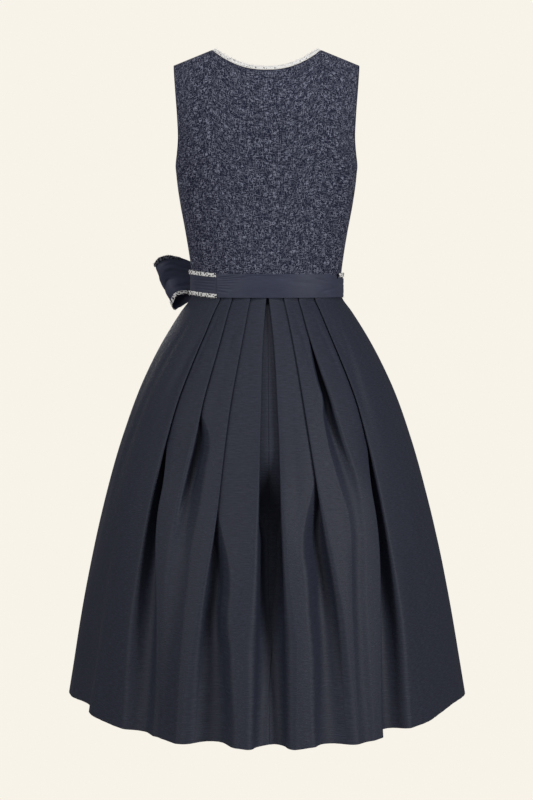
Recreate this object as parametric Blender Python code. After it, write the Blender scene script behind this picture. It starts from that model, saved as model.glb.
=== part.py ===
"""A dirndl with its apron, filled out as it is worn, with nobody in it.

Metres, +Z up. The wearer's left is +X and the back is +Y. The origin lies between the shoulders, at the
height where the straps rest on them. Azimuths on the skirt are degrees from the centre back, or from the
centre front on the front widths, growing towards the side seam.
"""

import math

import bpy
import numpy as np

MM = 0.001
SEAM_GAP = 0.3 * MM

# Walls of the cloths, across their thickness.
BODICE_WALL = 1.5 * MM
SKIRT_WALL = 1.4 * MM
APRON_WALL = 1.2 * MM
RIBBON_WALL = 1.1 * MM
BRAID_WALL = 2.0 * MM

# Main heights.
NECK_POINT_Z = 0.013
SHOULDER_TIP_Z = -0.013
UNDERARM_Z = -0.187
SASH_TOP_Z = -0.3655
WAIST_SEAM_Z = -0.385
SASH_BOTTOM_Z = -0.4053
APRON_HEM_Z = -1.068

# Neckline and shoulders.
NECK_HALF = 0.0936
SHOULDER_HALF = 0.1580
BACK_NECK_Z = -0.0275
FRONT_NECK_Z = -0.165
BACK_NECK_POWER = 2.2
FRONT_NECK_POWER = 1.9
BRAID_HEIGHT = 7 * MM
SHOULDER_ROUND = 0.16

# Columns of a bodice panel between its centre line and the neck point, as shares of the way.
NECK_SHARES = np.array([0, 0.2, 0.4, 0.58, 0.74, 0.87, 0.95, 1.0])

# Sections of the bodice: a boxy oval whose depths to the back and front differ.
BODICE_COLUMNS = ("height", "half_width", "back_depth", "front_depth", "power")
BODICE_SECTIONS = (
    (-0.385, 0.1266, 0.0948, 0.0948, 2.02),
    (-0.3655, 0.1278, 0.0946, 0.0955, 2.08),
    (-0.335, 0.1316, 0.0940, 0.0985, 2.20),
    (-0.290, 0.1388, 0.0935, 0.1035, 2.35),
    (-0.248, 0.1467, 0.0940, 0.1080, 2.40),
    (-0.214, 0.1517, 0.0950, 0.1100, 2.40),
    (-0.187, 0.1545, 0.0955, 0.1090, 2.40),
    (-0.165, 0.1580, 0.0955, 0.1060, 2.40),
    (-0.105, 0.1660, 0.0940, 0.0980, 2.40),
    (-0.050, 0.1710, 0.0900, 0.0920, 2.40),
    (0.013, 0.1750, 0.0850, 0.0880, 2.40),
)
# Half width of the cloth at the armhole, above the underarm point.
ARMHOLE_COLUMNS = ("height", "back_half", "front_half")
ARMHOLE = (
    (-0.187, 0.1545, 0.1545),
    (-0.180, 0.1537, 0.1510),
    (-0.165, 0.1512, 0.1440),
    (-0.140, 0.1488, 0.1375),
    (-0.105, 0.1500, 0.1370),
    (-0.060, 0.1537, 0.1440),
    (-0.013, 0.1580, 0.1580),
)
# Fullness of each cup over the plain front.
CUP_CENTRE_X = 0.078
CUP_CENTRE_Z = -0.212
CUP_FULLNESS = 19 * MM
CUP_SPREAD_X = 0.037
CUP_SPREAD_Z = 0.035

# Skirt sections, measured down from the waist seam. The depth fills out in step with the width.
SKIRT_COLUMNS = ("drop", "half_width", "power")
SKIRT_SECTIONS = (
    (0.000, 0.1267, 2.00),
    (0.020, 0.1290, 2.00),
    (0.045, 0.1462, 2.00),
    (0.095, 0.1774, 2.00),
    (0.165, 0.2126, 2.00),
    (0.255, 0.2465, 1.98),
    (0.375, 0.2807, 1.95),
    (0.515, 0.3122, 1.87),
    (0.710, 0.3466, 1.74),
)
WAIST_HALF_DEPTH = 0.0948
HEM_HALF_DEPTH = 0.358

# Pleats of each quarter, from its centre line outwards. An edge is the fold that lies on top, and it
# faces the centre line. Down to "opens" the pleat lies flat. At "deepest" its groove is at its deepest,
# and from there it softens towards the hem. A swing of 180 degrees is a flat fold, 90 an upright wall.
EDGE_DROPS = (0.0, 0.05, 0.20, 0.36, 0.50, 0.71)
FLAT_SWING = 172.0
PLEAT_COLUMNS = (
    "edges", "opens", "deepest", "settles", "flat_lap", "deep_swing", "deep_lap", "deep_wall",
    "hem_swing", "hem_lap", "takes_wall",
)
CENTRE_LEFT = ((-0.4, 1.5, 2.5, 2.6, 2.8, 3.4), 0.24, 0.40, 0.71, 25, 100, 52, 5, 84, 8, 0)
CENTRE_RIGHT = ((1.6, 3.6, 4.9, 4.9, 5.4, 5.5), 0.24, 0.40, 0.71, 25, 100, 52, 5, 84, 8, 0)
PLEATS = {
    "back_left": (
        CENTRE_LEFT,
        ((16.0, 14.8, 16.1, 16.6, 18.6, 19.5), 0.32, 0.50, 0.71, 12, 104, 24, 55, 62, 20, 1),
        ((33.0, 29.5, 28.8, 31.3, 31.3, 30.5), 0.20, 0.28, 0.50, 12, 132, 13, 40, 16, 10, 1),
        ((46.0, 43.2, 42.9, 44.2, 43.8, 43.0), 0.20, 0.34, 0.71, 14, 112, 29, 62, 30, 18, 1),
    ),
    "back_right": (
        CENTRE_RIGHT,
        ((16.8, 16.6, 17.4, 19.2, 21.0, 21.5), 0.27, 0.44, 0.71, 12, 106, 21, 50, 44, 16, 1),
        ((31.0, 28.2, 30.0, 34.0, 31.0, 29.5), 0.08, 0.20, 0.38, 12, 138, 15, 42, 15, 8, 1),
        ((46.5, 43.2, 43.8, 44.8, 43.6, 41.0), 0.20, 0.35, 0.71, 14, 112, 29, 64, 62, 18, 1),
    ),
    "front_left": (
        ((44.0, 42.5, 42.5, 43.0, 44.0, 44.0), 0.26, 0.42, 0.71, 12, 112, 20, 50, 50, 16, 1),
        ((60.0, 58.0, 57.5, 58.5, 60.0, 60.5), 0.22, 0.36, 0.71, 12, 122, 22, 55, 34, 18, 1),
    ),
    "front_right": (
        ((43.0, 42.0, 42.0, 42.0, 43.0, 43.5), 0.24, 0.38, 0.71, 12, 116, 21, 52, 42, 16, 1),
        ((59.0, 57.0, 57.0, 58.0, 58.5, 59.0), 0.28, 0.44, 0.71, 12, 110, 20, 50, 52, 18, 1),
    ),
}
# The fold radii of the outer edge, the bottom of the groove and the inner edge at those three stages.
FOLD_RADII = {
    "edge": (0.95 * MM, 3.0 * MM, 10.0 * MM),
    "groove": (0.95 * MM, 5.0 * MM, 15.0 * MM),
    "inner": (0.95 * MM, 3.0 * MM, 6.0 * MM),
}
# Soft troughs, at an azimuth from the centre back, positive on the wearer's left.
TROUGH_COLUMNS = ("azimuth_top", "azimuth_hem", "starts", "full", "fades", "inner", "outer", "depth")
TROUGHS = (
    (44.5, 55.0, 0.03, 0.12, 0.30, 2.5, 5.0, 3.0),
    (-46.5, -46.0, 0.03, 0.12, 0.28, 2.0, 4.0, 2.5),
    (30.0, 33.0, 0.42, 0.70, 2.00, 4.5, 7.0, 14.0),
    (60.0, 68.0, 0.32, 0.70, 2.00, 4.5, 13.0, 18.0),
    (-66.0, -64.0, 0.30, 0.70, 2.00, 12.0, 12.0, 9.0),
    (104.0, 107.0, 0.16, 0.60, 2.00, 6.0, 8.0, 13.0),
    (-105.0, -108.0, 0.20, 0.62, 2.00, 8.0, 6.0, 12.0),
    (158.0, 158.0, 0.22, 0.60, 2.00, 8.0, 8.0, 12.0),
    (-160.0, -159.0, 0.24, 0.62, 2.00, 8.0, 8.0, 12.0),
)
SKIRT_ROW_DROPS = (0.0, 0.020, 0.045, 0.09, 0.15, 0.215, 0.28, 0.345, 0.41, 0.49, 0.59, 0.71)
SEAM_AZIMUTH = {"back_left": -1.0, "back_right": 1.0, "front_left": 0.0, "front_right": 0.0}
SIDES = {"back_left": (1, 1), "back_right": (-1, 1), "front_left": (1, -1), "front_right": (-1, -1)}

# Apron, measured round from the centre front.
APRON_TOP_SPAN = 74.0
APRON_HEM_SPAN = 65.0
APRON_GATHERS = 13
APRON_STAND_TOP = 2.2 * MM
APRON_STAND_HEM = 6.0 * MM
APRON_WAVE_TOP = 1.0 * MM
APRON_WAVE_HEM = 9.0 * MM
APRON_TOP_DROP = 0.0223
APRON_ROW_DROPS = (APRON_TOP_DROP, 0.045, 0.09, 0.15, 0.215, 0.32, 0.47, WAIST_SEAM_Z - APRON_HEM_Z)

# Band, tie and bow. Azimuths run from the centre back over the wearer's left side to the front.
BAND_LEFT_END = 50.0
BAND_RIGHT_END = 287.4
LOW_BRAID_RIGHT_END = 268.0
KNOT_AZIMUTH = 128.0
BAND_LIFT = 5 * MM
BAND_HALF_HEIGHT = 18.5 * MM
BAND_BRAID_HEIGHT = 6.5 * MM
BAND_BRAID_OVERHANG = 2.0 * MM
TIE_HALF_HEIGHT = 19.8 * MM
TIE_NARROW_HALF = 12.0 * MM

# Half widths, half depths and powers of the two oval rings that the sash is stretched between.
SASH_LOW_RING = (0.1291 + SKIRT_WALL / 2, 0.0974 + SKIRT_WALL / 2, 2.0)
SASH_HIGH_RING = (0.1288 + BODICE_WALL / 2, 0.0972 + BODICE_WALL / 2, 2.08)
# How far the middle of a ribbon lies outside the dress, and outside the band.
BAND_STAND = SEAM_GAP + RIBBON_WALL / 2
OVER_BAND_STAND = 2 * SEAM_GAP + 1.5 * RIBBON_WALL
SASH_CENTRE_Z = (SASH_TOP_Z + SASH_BOTTOM_Z) / 2

KNOT_HALF = (11 * MM, 11 * MM, 17 * MM)
SIDE_LOOP_REACH = 70.5 * MM
SIDE_LOOP_SLANT = 15.5 * MM
FRONT_LOOP_REACH = 82 * MM
# Each loop starts this far past the knot's half width. The side loop leaves the knot at an angle.
SIDE_LOOP_START = SEAM_GAP + RIBBON_WALL
FRONT_LOOP_START = 2 * SEAM_GAP
FRONT_LOOP_SIZE = 0.86
LOOP_OPEN = 23 * MM
LOOP_PINCH_GAP = 2.6 * MM
LOOP_HOLLOW = 7 * MM
# Where a loop's braids start and end, as shares of its half height.
LOOP_BRAID_SHARES = (0.84, 1.015)
# A loop at shares of its length from the knot, in millimetres above and below its middle line. The ribbon
# folds over at its far end, and its first layer has the higher lower edge.
LOOP_COLUMNS = ("length", "upper", "first_lower", "last_lower")
LOOP_SHAPE = (
    (0.00, 11.0, 11.0, 11.0),
    (0.12, 28.5, 15.0, 19.0),
    (0.30, 37.0, 18.0, 28.0),
    (0.55, 44.0, 20.0, 37.0),
    (0.80, 45.5, 22.0, 45.0),
    (0.95, 38.5, 30.0, 46.0),
    (1.00, 32.0, 39.0, 39.0),
)
TAIL_TOP_Z = -0.3978
TAIL_HALF_WIDTH = 33 * MM
TAIL_TOP_HALF_WIDTH = 9 * MM
TAIL_BRAID_HEIGHT = 7 * MM

BUTTON_RADIUS = 6 * MM
BUTTON_HEIGHT = 3.2 * MM
BUTTON_X = 11 * MM
BUTTON_HEIGHTS = (-0.182, -0.215, -0.248, -0.281, -0.314, -0.347)

COLOURS = {
    "wool_blend": ("#33364a", 0.85),
    "slub_taffeta": ("#20222f", 0.70),
    "satin_ribbon": ("#303446", 0.45),
    "apron_taffeta": ("#2b2f40", 0.55),
    "braid": ("#b9b8bc", 0.90),
    "horn_button": ("#25262e", 0.40),
}


def clear_scene():
    for obj in list(bpy.data.objects):
        bpy.data.objects.remove(obj, do_unlink=True)


def linear(hex_colour):
    """The sRGB hex colour as linear red, green, blue and alpha."""
    values = [int(hex_colour[i:i + 2], 16) / 255 for i in (1, 3, 5)]
    return [v / 12.92 if v <= 0.04045 else ((v + 0.055) / 1.055) ** 2.4 for v in values] + [1.0]


def material(name, finish):
    """A sub-part's own Principled material, in the colour and roughness of its cloth."""
    made = bpy.data.materials.new(name)
    made.use_nodes = True
    colour, roughness = COLOURS[finish]
    shader = made.node_tree.nodes["Principled BSDF"]
    shader.inputs["Base Color"].default_value = linear(colour)
    shader.inputs["Roughness"].default_value = roughness
    shader.inputs["Metallic"].default_value = 0.0
    return made


def smooth(t):
    """0 below 0, 1 above 1, and an even S between."""
    t = np.clip(t, 0.0, 1.0)
    return t * t * (3 - 2 * t)


def curve_through(xs, ys, at):
    """A cubic through the points, whose slope at each is that of its two neighbours."""
    xs, ys = np.asarray(xs, float), np.asarray(ys, float)
    slope = np.gradient(ys, xs)
    at = np.clip(at, xs[0], xs[-1])
    i = np.clip(np.searchsorted(xs, at) - 1, 0, len(xs) - 2)
    step = xs[i + 1] - xs[i]
    t = (at - xs[i]) / step
    start = ys[i] * (1 + 2 * t) * (1 - t) ** 2 + slope[i] * step * t * (1 - t) ** 2
    end = ys[i + 1] * t * t * (3 - 2 * t) + slope[i + 1] * step * t * t * (t - 1)
    return start + end


def from_table(table, columns, name, at):
    """One named column of a table, read smoothly at a value of its first column."""
    k = columns.index(name)
    return curve_through([row[0] for row in table], [row[k] for row in table], at)


def unit(vectors):
    return vectors / np.maximum(np.linalg.norm(vectors, axis=-1, keepdims=True), 1e-12)


def grid_normals(points):
    """Unit normals of a grid of points, from its steps along rows and columns."""
    along = np.gradient(points, axis=1)
    up = np.gradient(points, axis=0)
    return unit(np.cross(along, up))


def mesh_object(name, vertices, faces, finish, smooth_angle=40):
    """A mesh object whose faces are turned to point out."""
    vertices = np.asarray(vertices, float)
    faces = [tuple(int(i) for i in face) for face in faces]
    triangles = np.array([(f[0], f[k], f[k + 1]) for f in faces for k in range(1, len(f) - 1)])
    corners = vertices[triangles]
    volume = np.einsum("ij,ij->i", corners[:, 0], np.cross(corners[:, 1], corners[:, 2])).sum()
    if volume < 0:
        faces = [(f[0],) + f[:0:-1] for f in faces]
    mesh = bpy.data.meshes.new(name)
    mesh.from_pydata(vertices.tolist(), [], faces)
    mesh.materials.append(material(name, finish))
    mesh.shade_smooth()
    mesh.set_sharp_from_angle(angle=math.radians(smooth_angle))
    obj = bpy.data.objects.new(name, mesh)
    bpy.context.scene.collection.objects.link(obj)
    return obj


def wall(name, middle, normals, thickness, finish):
    """A sheet of cloth: a grid of points given half its thickness to either side, closed at its rim."""
    rows, columns = middle.shape[:2]
    count = rows * columns
    outer = (middle + normals * thickness / 2).reshape(-1, 3)
    inner = (middle - normals * thickness / 2).reshape(-1, 3)
    index = np.arange(count).reshape(rows, columns)
    a, b = index[:-1, :-1].ravel(), index[:-1, 1:].ravel()
    c, d = index[1:, 1:].ravel(), index[1:, :-1].ravel()
    front = np.stack([a, b, c, d], axis=1)
    back = np.stack([a, d, c, b], axis=1) + count
    rim = np.concatenate([index[0, :-1], index[:-1, -1], index[-1, :0:-1], index[:0:-1, 0]])
    ahead = np.roll(rim, -1)
    side = np.stack([ahead, rim, rim + count, ahead + count], axis=1)
    faces = np.concatenate([front, back, side])
    return mesh_object(name, np.concatenate([outer, inner]), faces, finish)


def shoulder_height(x):
    """Height of the shoulder line over x. It runs on at the same slope inside the neck."""
    slope = (SHOULDER_TIP_Z - NECK_POINT_Z) / (SHOULDER_HALF - NECK_HALF)
    return NECK_POINT_Z + (np.abs(x) - NECK_HALF) * slope


def top_height(x, side):
    """Height of the bodice's upper edge over x: neckline inside the neck point, shoulder seam outside."""
    low, power = (BACK_NECK_Z, BACK_NECK_POWER) if side > 0 else (FRONT_NECK_Z, FRONT_NECK_POWER)
    inside = low + (NECK_POINT_Z - low) * np.clip(np.abs(x) / NECK_HALF, 0, 1) ** power
    return np.where(np.abs(x) < NECK_HALF, inside, shoulder_height(x))


def bodice_value(name, z):
    return from_table(BODICE_SECTIONS, BODICE_COLUMNS, name, z)


def torso_angle(u, z, side):
    """Angle from the centre line. The outer half of the columns draws in to the armhole above the
    underarm point, and the inner half runs straight up."""
    edge = from_table(ARMHOLE, ARMHOLE_COLUMNS, "back_half" if side > 0 else "front_half", z)
    share = np.where(z < UNDERARM_Z, 1.0, np.clip(edge / bodice_value("half_width", z), 0, 1))
    limit = np.arcsin(share ** (bodice_value("power", z) / 2))
    quarter = math.pi / 4
    outer = quarter + (limit - quarter) * (np.abs(u) - 0.5) * 2
    return np.sign(u) * np.where(np.abs(u) < 0.5, np.abs(u) * 2 * quarter, outer)


def torso_point(angle, z, side):
    """The bodice surface: an oval at each height, drawn in to the shoulder line, with a cup in front."""
    power = bodice_value("power", z)
    sine, cosine = np.sin(angle), np.clip(np.cos(angle), 0, 1)
    x = bodice_value("half_width", z) * np.sign(sine) * np.abs(sine) ** (2 / power)
    below = np.clip((shoulder_height(x) - z) / SHOULDER_ROUND, 0, 1)
    depth = bodice_value("back_depth" if side > 0 else "front_depth", z)
    y = depth * cosine ** (2 / power) * np.sqrt(1 - (1 - below) ** 2)
    if side < 0:
        across = (np.abs(x) - CUP_CENTRE_X) / CUP_SPREAD_X
        upright = (z - CUP_CENTRE_Z) / CUP_SPREAD_Z
        y = y + CUP_FULLNESS * np.exp(-(across ** 2 + upright ** 2) / 2) * cosine ** 0.5
    return np.stack([x, side * (y + SEAM_GAP / 2), z + 0 * x], axis=-1)


def torso_normal(angle, z, side):
    """Unit normal of that surface, pointing out, from its steps back along the angle and the height."""
    here = torso_point(angle, z, side)
    around = here - torso_point(angle - 0.02, z, side)
    up = here - torso_point(angle, z - MM, side)
    return unit(np.cross(up, around)) * side


def bodice_grid(side, across, up):
    """Grid of a bodice panel: across runs from -1 or 0 to 1 (the side edge), up from 0 at the waist to 1."""
    u, v = np.meshgrid(across, up)
    top = np.full_like(u, 0.0)
    for _ in range(34):
        x = torso_point(torso_angle(u, top, side), top, side)[..., 0]
        top = 0.5 * top + 0.5 * top_height(x, side)
    bottom = WAIST_SEAM_Z + SEAM_GAP / 2
    z = bottom + (top - bottom) * v
    angle = torso_angle(u, z, side)
    points = torso_point(angle, z, side)
    normals = torso_normal(np.abs(angle), z, side)
    normals[..., 0] *= np.where(u < 0, -1, 1)
    at_side = (np.abs(np.abs(u) - 1) < 1e-6) & (z <= UNDERARM_Z + 1e-6)
    at_shoulder = (np.abs(v - 1) < 1e-6) & (np.abs(points[..., 0]) >= NECK_HALF - 1e-4)
    at_front = (np.abs(u) < 1e-6) & (side < 0)
    normals[at_side | at_shoulder, 1] = 0
    normals[at_front, 0] = 0
    return points, unit(normals)


def neck_share(side):
    """Share of the panel's width at which its upper edge reaches the neck point."""
    shares = np.linspace(0.3, 0.9, 241)
    x = bodice_grid(side, shares, np.array([0.0, 1.0]))[0][-1, :, 0]
    return float(np.interp(NECK_HALF, x, shares))


def make_bodice():
    """Back and two fronts. It returns the cloth edge round the neck as points and normals."""
    underarm = (UNDERARM_Z - WAIST_SEAM_Z) / (SHOULDER_TIP_Z - WAIST_SEAM_Z)
    lower = np.array([0, 0.055, 0.14, 0.25, 0.36, 0.46])
    upper = np.array([underarm, 0.56, 0.60, 0.67, 0.76, 0.84, 0.90, 0.95, 0.98, 0.995, 1.0])
    up = np.concatenate([lower, upper])
    back_neck = neck_share(1)
    half = np.concatenate([back_neck * NECK_SHARES, np.linspace(back_neck, 1, 6)[1:]])
    points, normals = bodice_grid(1, np.concatenate([-half[:0:-1], half]), up)
    wall("bodice_back", points, normals, BODICE_WALL, "wool_blend")
    middle, reach = len(half) - 1, len(NECK_SHARES)
    neck = slice(middle + reach - 1, middle - reach, -1)
    back = points[-1, neck], normals[-1, neck]
    front_neck = neck_share(-1)
    half = np.concatenate([front_neck * NECK_SHARES, np.linspace(front_neck, 1, 6)[1:]])
    points, normals = bodice_grid(-1, half, up)
    points[..., 0] += SEAM_GAP / 2
    wall("bodice_front_left", points, normals, BODICE_WALL, "wool_blend")
    left = points[-1, :reach], normals[-1, :reach]
    mirror = np.array([-1.0, 1.0, 1.0])
    wall("bodice_front_right", points * mirror, normals * mirror, BODICE_WALL, "wool_blend")
    sides = left, back, (left[0][::-1] * mirror, left[1][::-1] * mirror)
    return [np.concatenate([side[k] for side in sides]) for k in (0, 1)]


def outward(points, normals):
    """The normals, turned so that they point away from the middle of the body."""
    middle = np.array([0.0, 0.0, points[..., 2].mean()])
    return normals if np.sum((points - middle) * normals) > 0 else -normals


def make_neck_braid(path, normals):
    """One braid on the neck edge, from the centre front round the wearer's left side and back again."""
    keep = np.concatenate([[True], np.linalg.norm(np.diff(path, axis=0), axis=1) > 1 * MM])
    path, normals = path[keep], normals[keep]
    off = unit(np.cross(normals, unit(np.gradient(path, axis=0))))
    off = off if off[len(off) // 2][2] > 0 else -off
    off[[0, -1], 0] = 0
    foot = path + off * 2 * SEAM_GAP
    head = foot + off * BRAID_HEIGHT
    wall("neck_braid", np.stack([foot, head]), np.stack([normals, normals]), BRAID_WALL, "braid")


def turned(name, centre, axis, profile, sides, finish):
    """A solid turned about an axis, from (radius, height) pairs that start and end on it."""
    axis = unit(np.asarray(axis, float))
    first = unit(np.cross(axis, [0.0, 0.0, 1.0]))
    second = np.cross(axis, first)
    angles = np.arange(sides) * 2 * math.pi / sides
    ring = np.outer(np.cos(angles), first) + np.outer(np.sin(angles), second)
    inner = profile[1:-1]
    rings = [centre + ring * radius + axis * height for radius, height in inner]
    ends = [centre + axis * profile[0][1], centre + axis * profile[-1][1]]
    vertices = np.concatenate(rings + [np.array(ends)])
    low, high = len(inner) * sides, len(inner) * sides + 1
    faces = []
    for k in range(sides):
        after = (k + 1) % sides
        faces.append((low, after, k))
        for level in range(len(inner) - 1):
            base, above = level * sides, (level + 1) * sides
            faces.append((base + k, base + after, above + after, above + k))
        last = (len(inner) - 1) * sides
        faces.append((last + k, last + after, high))
    return mesh_object(name, vertices, faces, finish)


def make_buttons():
    for number, height in enumerate(BUTTON_HEIGHTS, 1):
        z = np.array(height)
        half_width = bodice_value("half_width", z)
        angle = np.arcsin((BUTTON_X / half_width) ** (bodice_value("power", z) / 2))
        axis = torso_normal(angle, z, -1)
        foot = torso_point(angle, z, -1) + axis * (BODICE_WALL / 2 + 0.6 * MM)
        profile = ((0, 0), (0.82, 0), (1.0, 0.35), (0.92, 0.8), (0.6, 1.0), (0, 1.0))
        profile = [(r * BUTTON_RADIUS, h * BUTTON_HEIGHT) for r, h in profile]
        turned("button_%d" % number, foot, axis, profile, 12, "horn_button")


def skirt_size(drop):
    """Half width, half depth and roundness of the skirt at a drop below the waist seam."""
    half_width = from_table(SKIRT_SECTIONS, SKIRT_COLUMNS, "half_width", drop)
    power = from_table(SKIRT_SECTIONS, SKIRT_COLUMNS, "power", drop)
    waist, hem = SKIRT_SECTIONS[0][1], SKIRT_SECTIONS[-1][1]
    share = (half_width - waist) / (hem - waist)
    return half_width, WAIST_HALF_DEPTH + (HEM_HALF_DEPTH - WAIST_HALF_DEPTH) * share, power


def skirt_ring(drop):
    """The plain ring of one quarter: arc length, azimuth, place, tangent and outward normal."""
    half_width, half_depth, power = skirt_size(drop)
    angle = np.radians(np.linspace(-20, 96, 465))
    x = half_width * np.sign(np.sin(angle)) * np.abs(np.sin(angle)) ** (2 / power)
    y = half_depth * np.sign(np.cos(angle)) * np.abs(np.cos(angle)) ** (2 / power)
    place = np.stack([x, y], axis=1)
    step = np.linalg.norm(np.diff(place, axis=0), axis=1)
    arc = np.concatenate([[0], np.cumsum(step)])
    azimuth = np.degrees(np.arctan2(x, y))
    arc = arc - np.interp(0, azimuth, arc)
    tangent = unit(np.gradient(place, arc, axis=0))
    normal = np.stack([-tangent[:, 1], tangent[:, 0]], axis=1)
    return arc, azimuth, place, tangent, normal


def fold_rise(swing, lap, radii):
    """How far out a fold climbs: two turns and the straight layer between them."""
    return radii * (1 - math.cos(swing)) + lap * math.sin(swing)


def bend(start, heading, turn_to, radius, points):
    """An arc from a place and heading to a new heading: its points after the first, with their headings."""
    angles = np.linspace(heading, turn_to, points)
    sign = 1.0 if turn_to > heading else -1.0
    s = start[0] + sign * radius * (np.sin(angles) - math.sin(heading))
    out = start[1] + sign * radius * (math.cos(heading) - np.cos(angles))
    return np.stack([s, out, angles], axis=1)


def pleat_shape(row, drop, arc_points):
    """One fold as (along, out, heading): inner edge, inner wall, groove, return layer, outer edge."""
    pleat = dict(zip(PLEAT_COLUMNS, row))
    opening = smooth((drop - pleat["opens"]) / (pleat["deepest"] - pleat["opens"]))
    settling = smooth((drop - pleat["deepest"]) / (pleat["settles"] - pleat["deepest"]))

    def staged(flat, deep, hem):
        return flat + (deep - flat) * opening + (hem - deep) * settling

    swing = math.radians(staged(FLAT_SWING, pleat["deep_swing"], pleat["hem_swing"]))
    edge, groove, inner = (staged(*FOLD_RADII[k]) for k in ("edge", "groove", "inner"))
    lap = (pleat["flat_lap"] + (pleat["deep_lap"] - pleat["flat_lap"]) * opening) * MM
    if settling > 0:
        radii = [FOLD_RADII["edge"][k] + FOLD_RADII["groove"][k] for k in (1, 2)]
        deep_rise = fold_rise(math.radians(pleat["deep_swing"]), pleat["deep_lap"] * MM, radii[0])
        hem_rise = fold_rise(math.radians(pleat["hem_swing"]), pleat["hem_lap"] * MM, radii[1])
        wanted = deep_rise + (hem_rise - deep_rise) * settling
        turns = fold_rise(swing, 0.0, edge + groove)
        slack = min(1.0, 0.85 * wanted / turns)
        edge, groove = edge * slack, groove * slack
        lap = (wanted - turns * slack) / math.sin(swing)
    rise = fold_rise(swing, lap, edge + groove)
    share = max(math.sqrt(opening), 0.02)
    steep = pleat["deep_wall"] + (min(pleat["deep_wall"], pleat["hem_swing"]) - pleat["deep_wall"]) * settling
    inward = math.radians(steep) * share * pleat["takes_wall"]
    first = np.empty((0, 3))
    start = np.array([0.0, 0.0])
    if pleat["takes_wall"]:
        spare = share * rise - (inner + groove) * (1 - math.cos(inward))
        inner_wall = max(spare / math.sin(inward) * min(1.0, 4 * share), SEAM_GAP)
        first = bend((0.0, 0.0), 0.0, -inward, inner, arc_points - 1)
        start = first[-1, :2] + inner_wall * np.array([math.cos(inward), -math.sin(inward)])
    second = bend(start, -inward, swing, groove, arc_points)
    start = second[-1, :2] + lap * np.array([math.cos(swing), math.sin(swing)])
    third = bend(start, swing, 0.0, edge, arc_points)
    shape = np.concatenate([first, second, third])
    overhang = edge * (1 - math.sin(swing)) if swing > math.pi / 2 else 0.0
    shape[:, 0] -= third[0, 0] - overhang
    shape[:, 1] -= third[-1, 1]
    return shape


def panel_between(start, end, over, under, points):
    """The flat of cloth from one fold to the next. It has points over the fold that it covers and under
    the fold that covers it, so that the layers there stay parallel."""
    width = end[0] - start[0]
    reach = np.maximum([over, under], 0.12 * width)
    reach *= min(1.0, 0.97 * width / reach.sum())
    s = np.linspace(start[0] + reach[0], end[0] - reach[1], points)
    slope = (end[1] - start[1]) / width
    out = start[1] + slope * (s - start[0])
    return np.stack([s, out, np.full_like(s, math.atan(slope))], axis=1)


def trough_depth(azimuth, drop):
    """How far the soft troughs draw the cloth in, at azimuths from the centre back."""
    total = np.zeros_like(azimuth)
    for row in TROUGHS:
        trough = dict(zip(TROUGH_COLUMNS, row))
        share = drop / SKIRT_SECTIONS[-1][0]
        at = trough["azimuth_top"] + (trough["azimuth_hem"] - trough["azimuth_top"]) * share
        grown = smooth((drop - trough["starts"]) / (trough["full"] - trough["starts"]))
        faded = 1 - smooth((drop - trough["full"]) / (trough["fades"] - trough["full"]))
        away = (azimuth - at) * math.copysign(1, at)
        width = np.where(away < 0, trough["inner"], trough["outer"])
        total += trough["depth"] * MM * grown * faded * np.exp(-((away / width) ** 2))
    return total


def skirt_row(quarter, drop, arc_points, panel_points, wide_points):
    """Points and normals round one quarter of the skirt at one height, from the centre line to the side."""
    arc, azimuth, place, tangent, normal = skirt_ring(drop)
    end_arc = np.interp(90.0, azimuth, arc) - SEAM_GAP / 2
    start_arc = np.interp(SEAM_AZIMUTH[quarter], azimuth, arc) + SEAM_GAP / 2
    rows = []
    last, over = None, 0.0
    for row in PLEATS[quarter]:
        shape = pleat_shape(row, drop, arc_points)
        shape[:, 0] += np.interp(curve_through(EDGE_DROPS, row[0], drop), azimuth, arc)
        between = panel_points
        if last is None:
            back = quarter.startswith("back")
            last = np.array([start_arc, shape[0, 1] if back else 0.0, 0.0])
            rows.append(last[None])
            between = 1 if back else wide_points
        under = shape[0, 0] - shape[-arc_points, 0]
        rows.append(panel_between(last, shape[0], over, under, between))
        rows.append(shape)
        over = shape[-arc_points - 1, 0] - shape[-1, 0]
        last = shape[-1]
    end = np.array([end_arc, 0.0, 0.0])
    rows.append(panel_between(last, end, over, 0.0, wide_points))
    rows.append(end[None])
    line = np.concatenate(rows)
    s, out, heading = line.T
    side_x, side_y = SIDES[quarter]
    own = np.interp(s, arc, azimuth)
    from_back = side_x * (own if side_y > 0 else 180 - own)
    out = out - trough_depth(from_back, drop)
    here = np.stack([np.interp(s, arc, place[:, k]) for k in (0, 1)], axis=1)
    along = unit(np.stack([np.interp(s, arc, tangent[:, k]) for k in (0, 1)], axis=1))
    away = unit(np.stack([np.interp(s, arc, normal[:, k]) for k in (0, 1)], axis=1))
    points = here + away * out[:, None]
    normals = away * np.cos(heading)[:, None] - along * np.sin(heading)[:, None]
    flip = np.array([side_x, side_y])
    z = np.full(len(s), WAIST_SEAM_Z - SEAM_GAP / 2 - drop)
    return np.column_stack([points * flip, z]), np.column_stack([normals * flip, 0 * z])


def make_skirt():
    for quarter in SIDES:
        rows = [skirt_row(quarter, drop, 3, 2, 6) for drop in SKIRT_ROW_DROPS]
        points = np.stack([row[0] for row in rows])
        normals = np.stack([row[1] for row in rows])
        wall("skirt_" + quarter, points, normals, SKIRT_WALL, "slub_taffeta")


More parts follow.
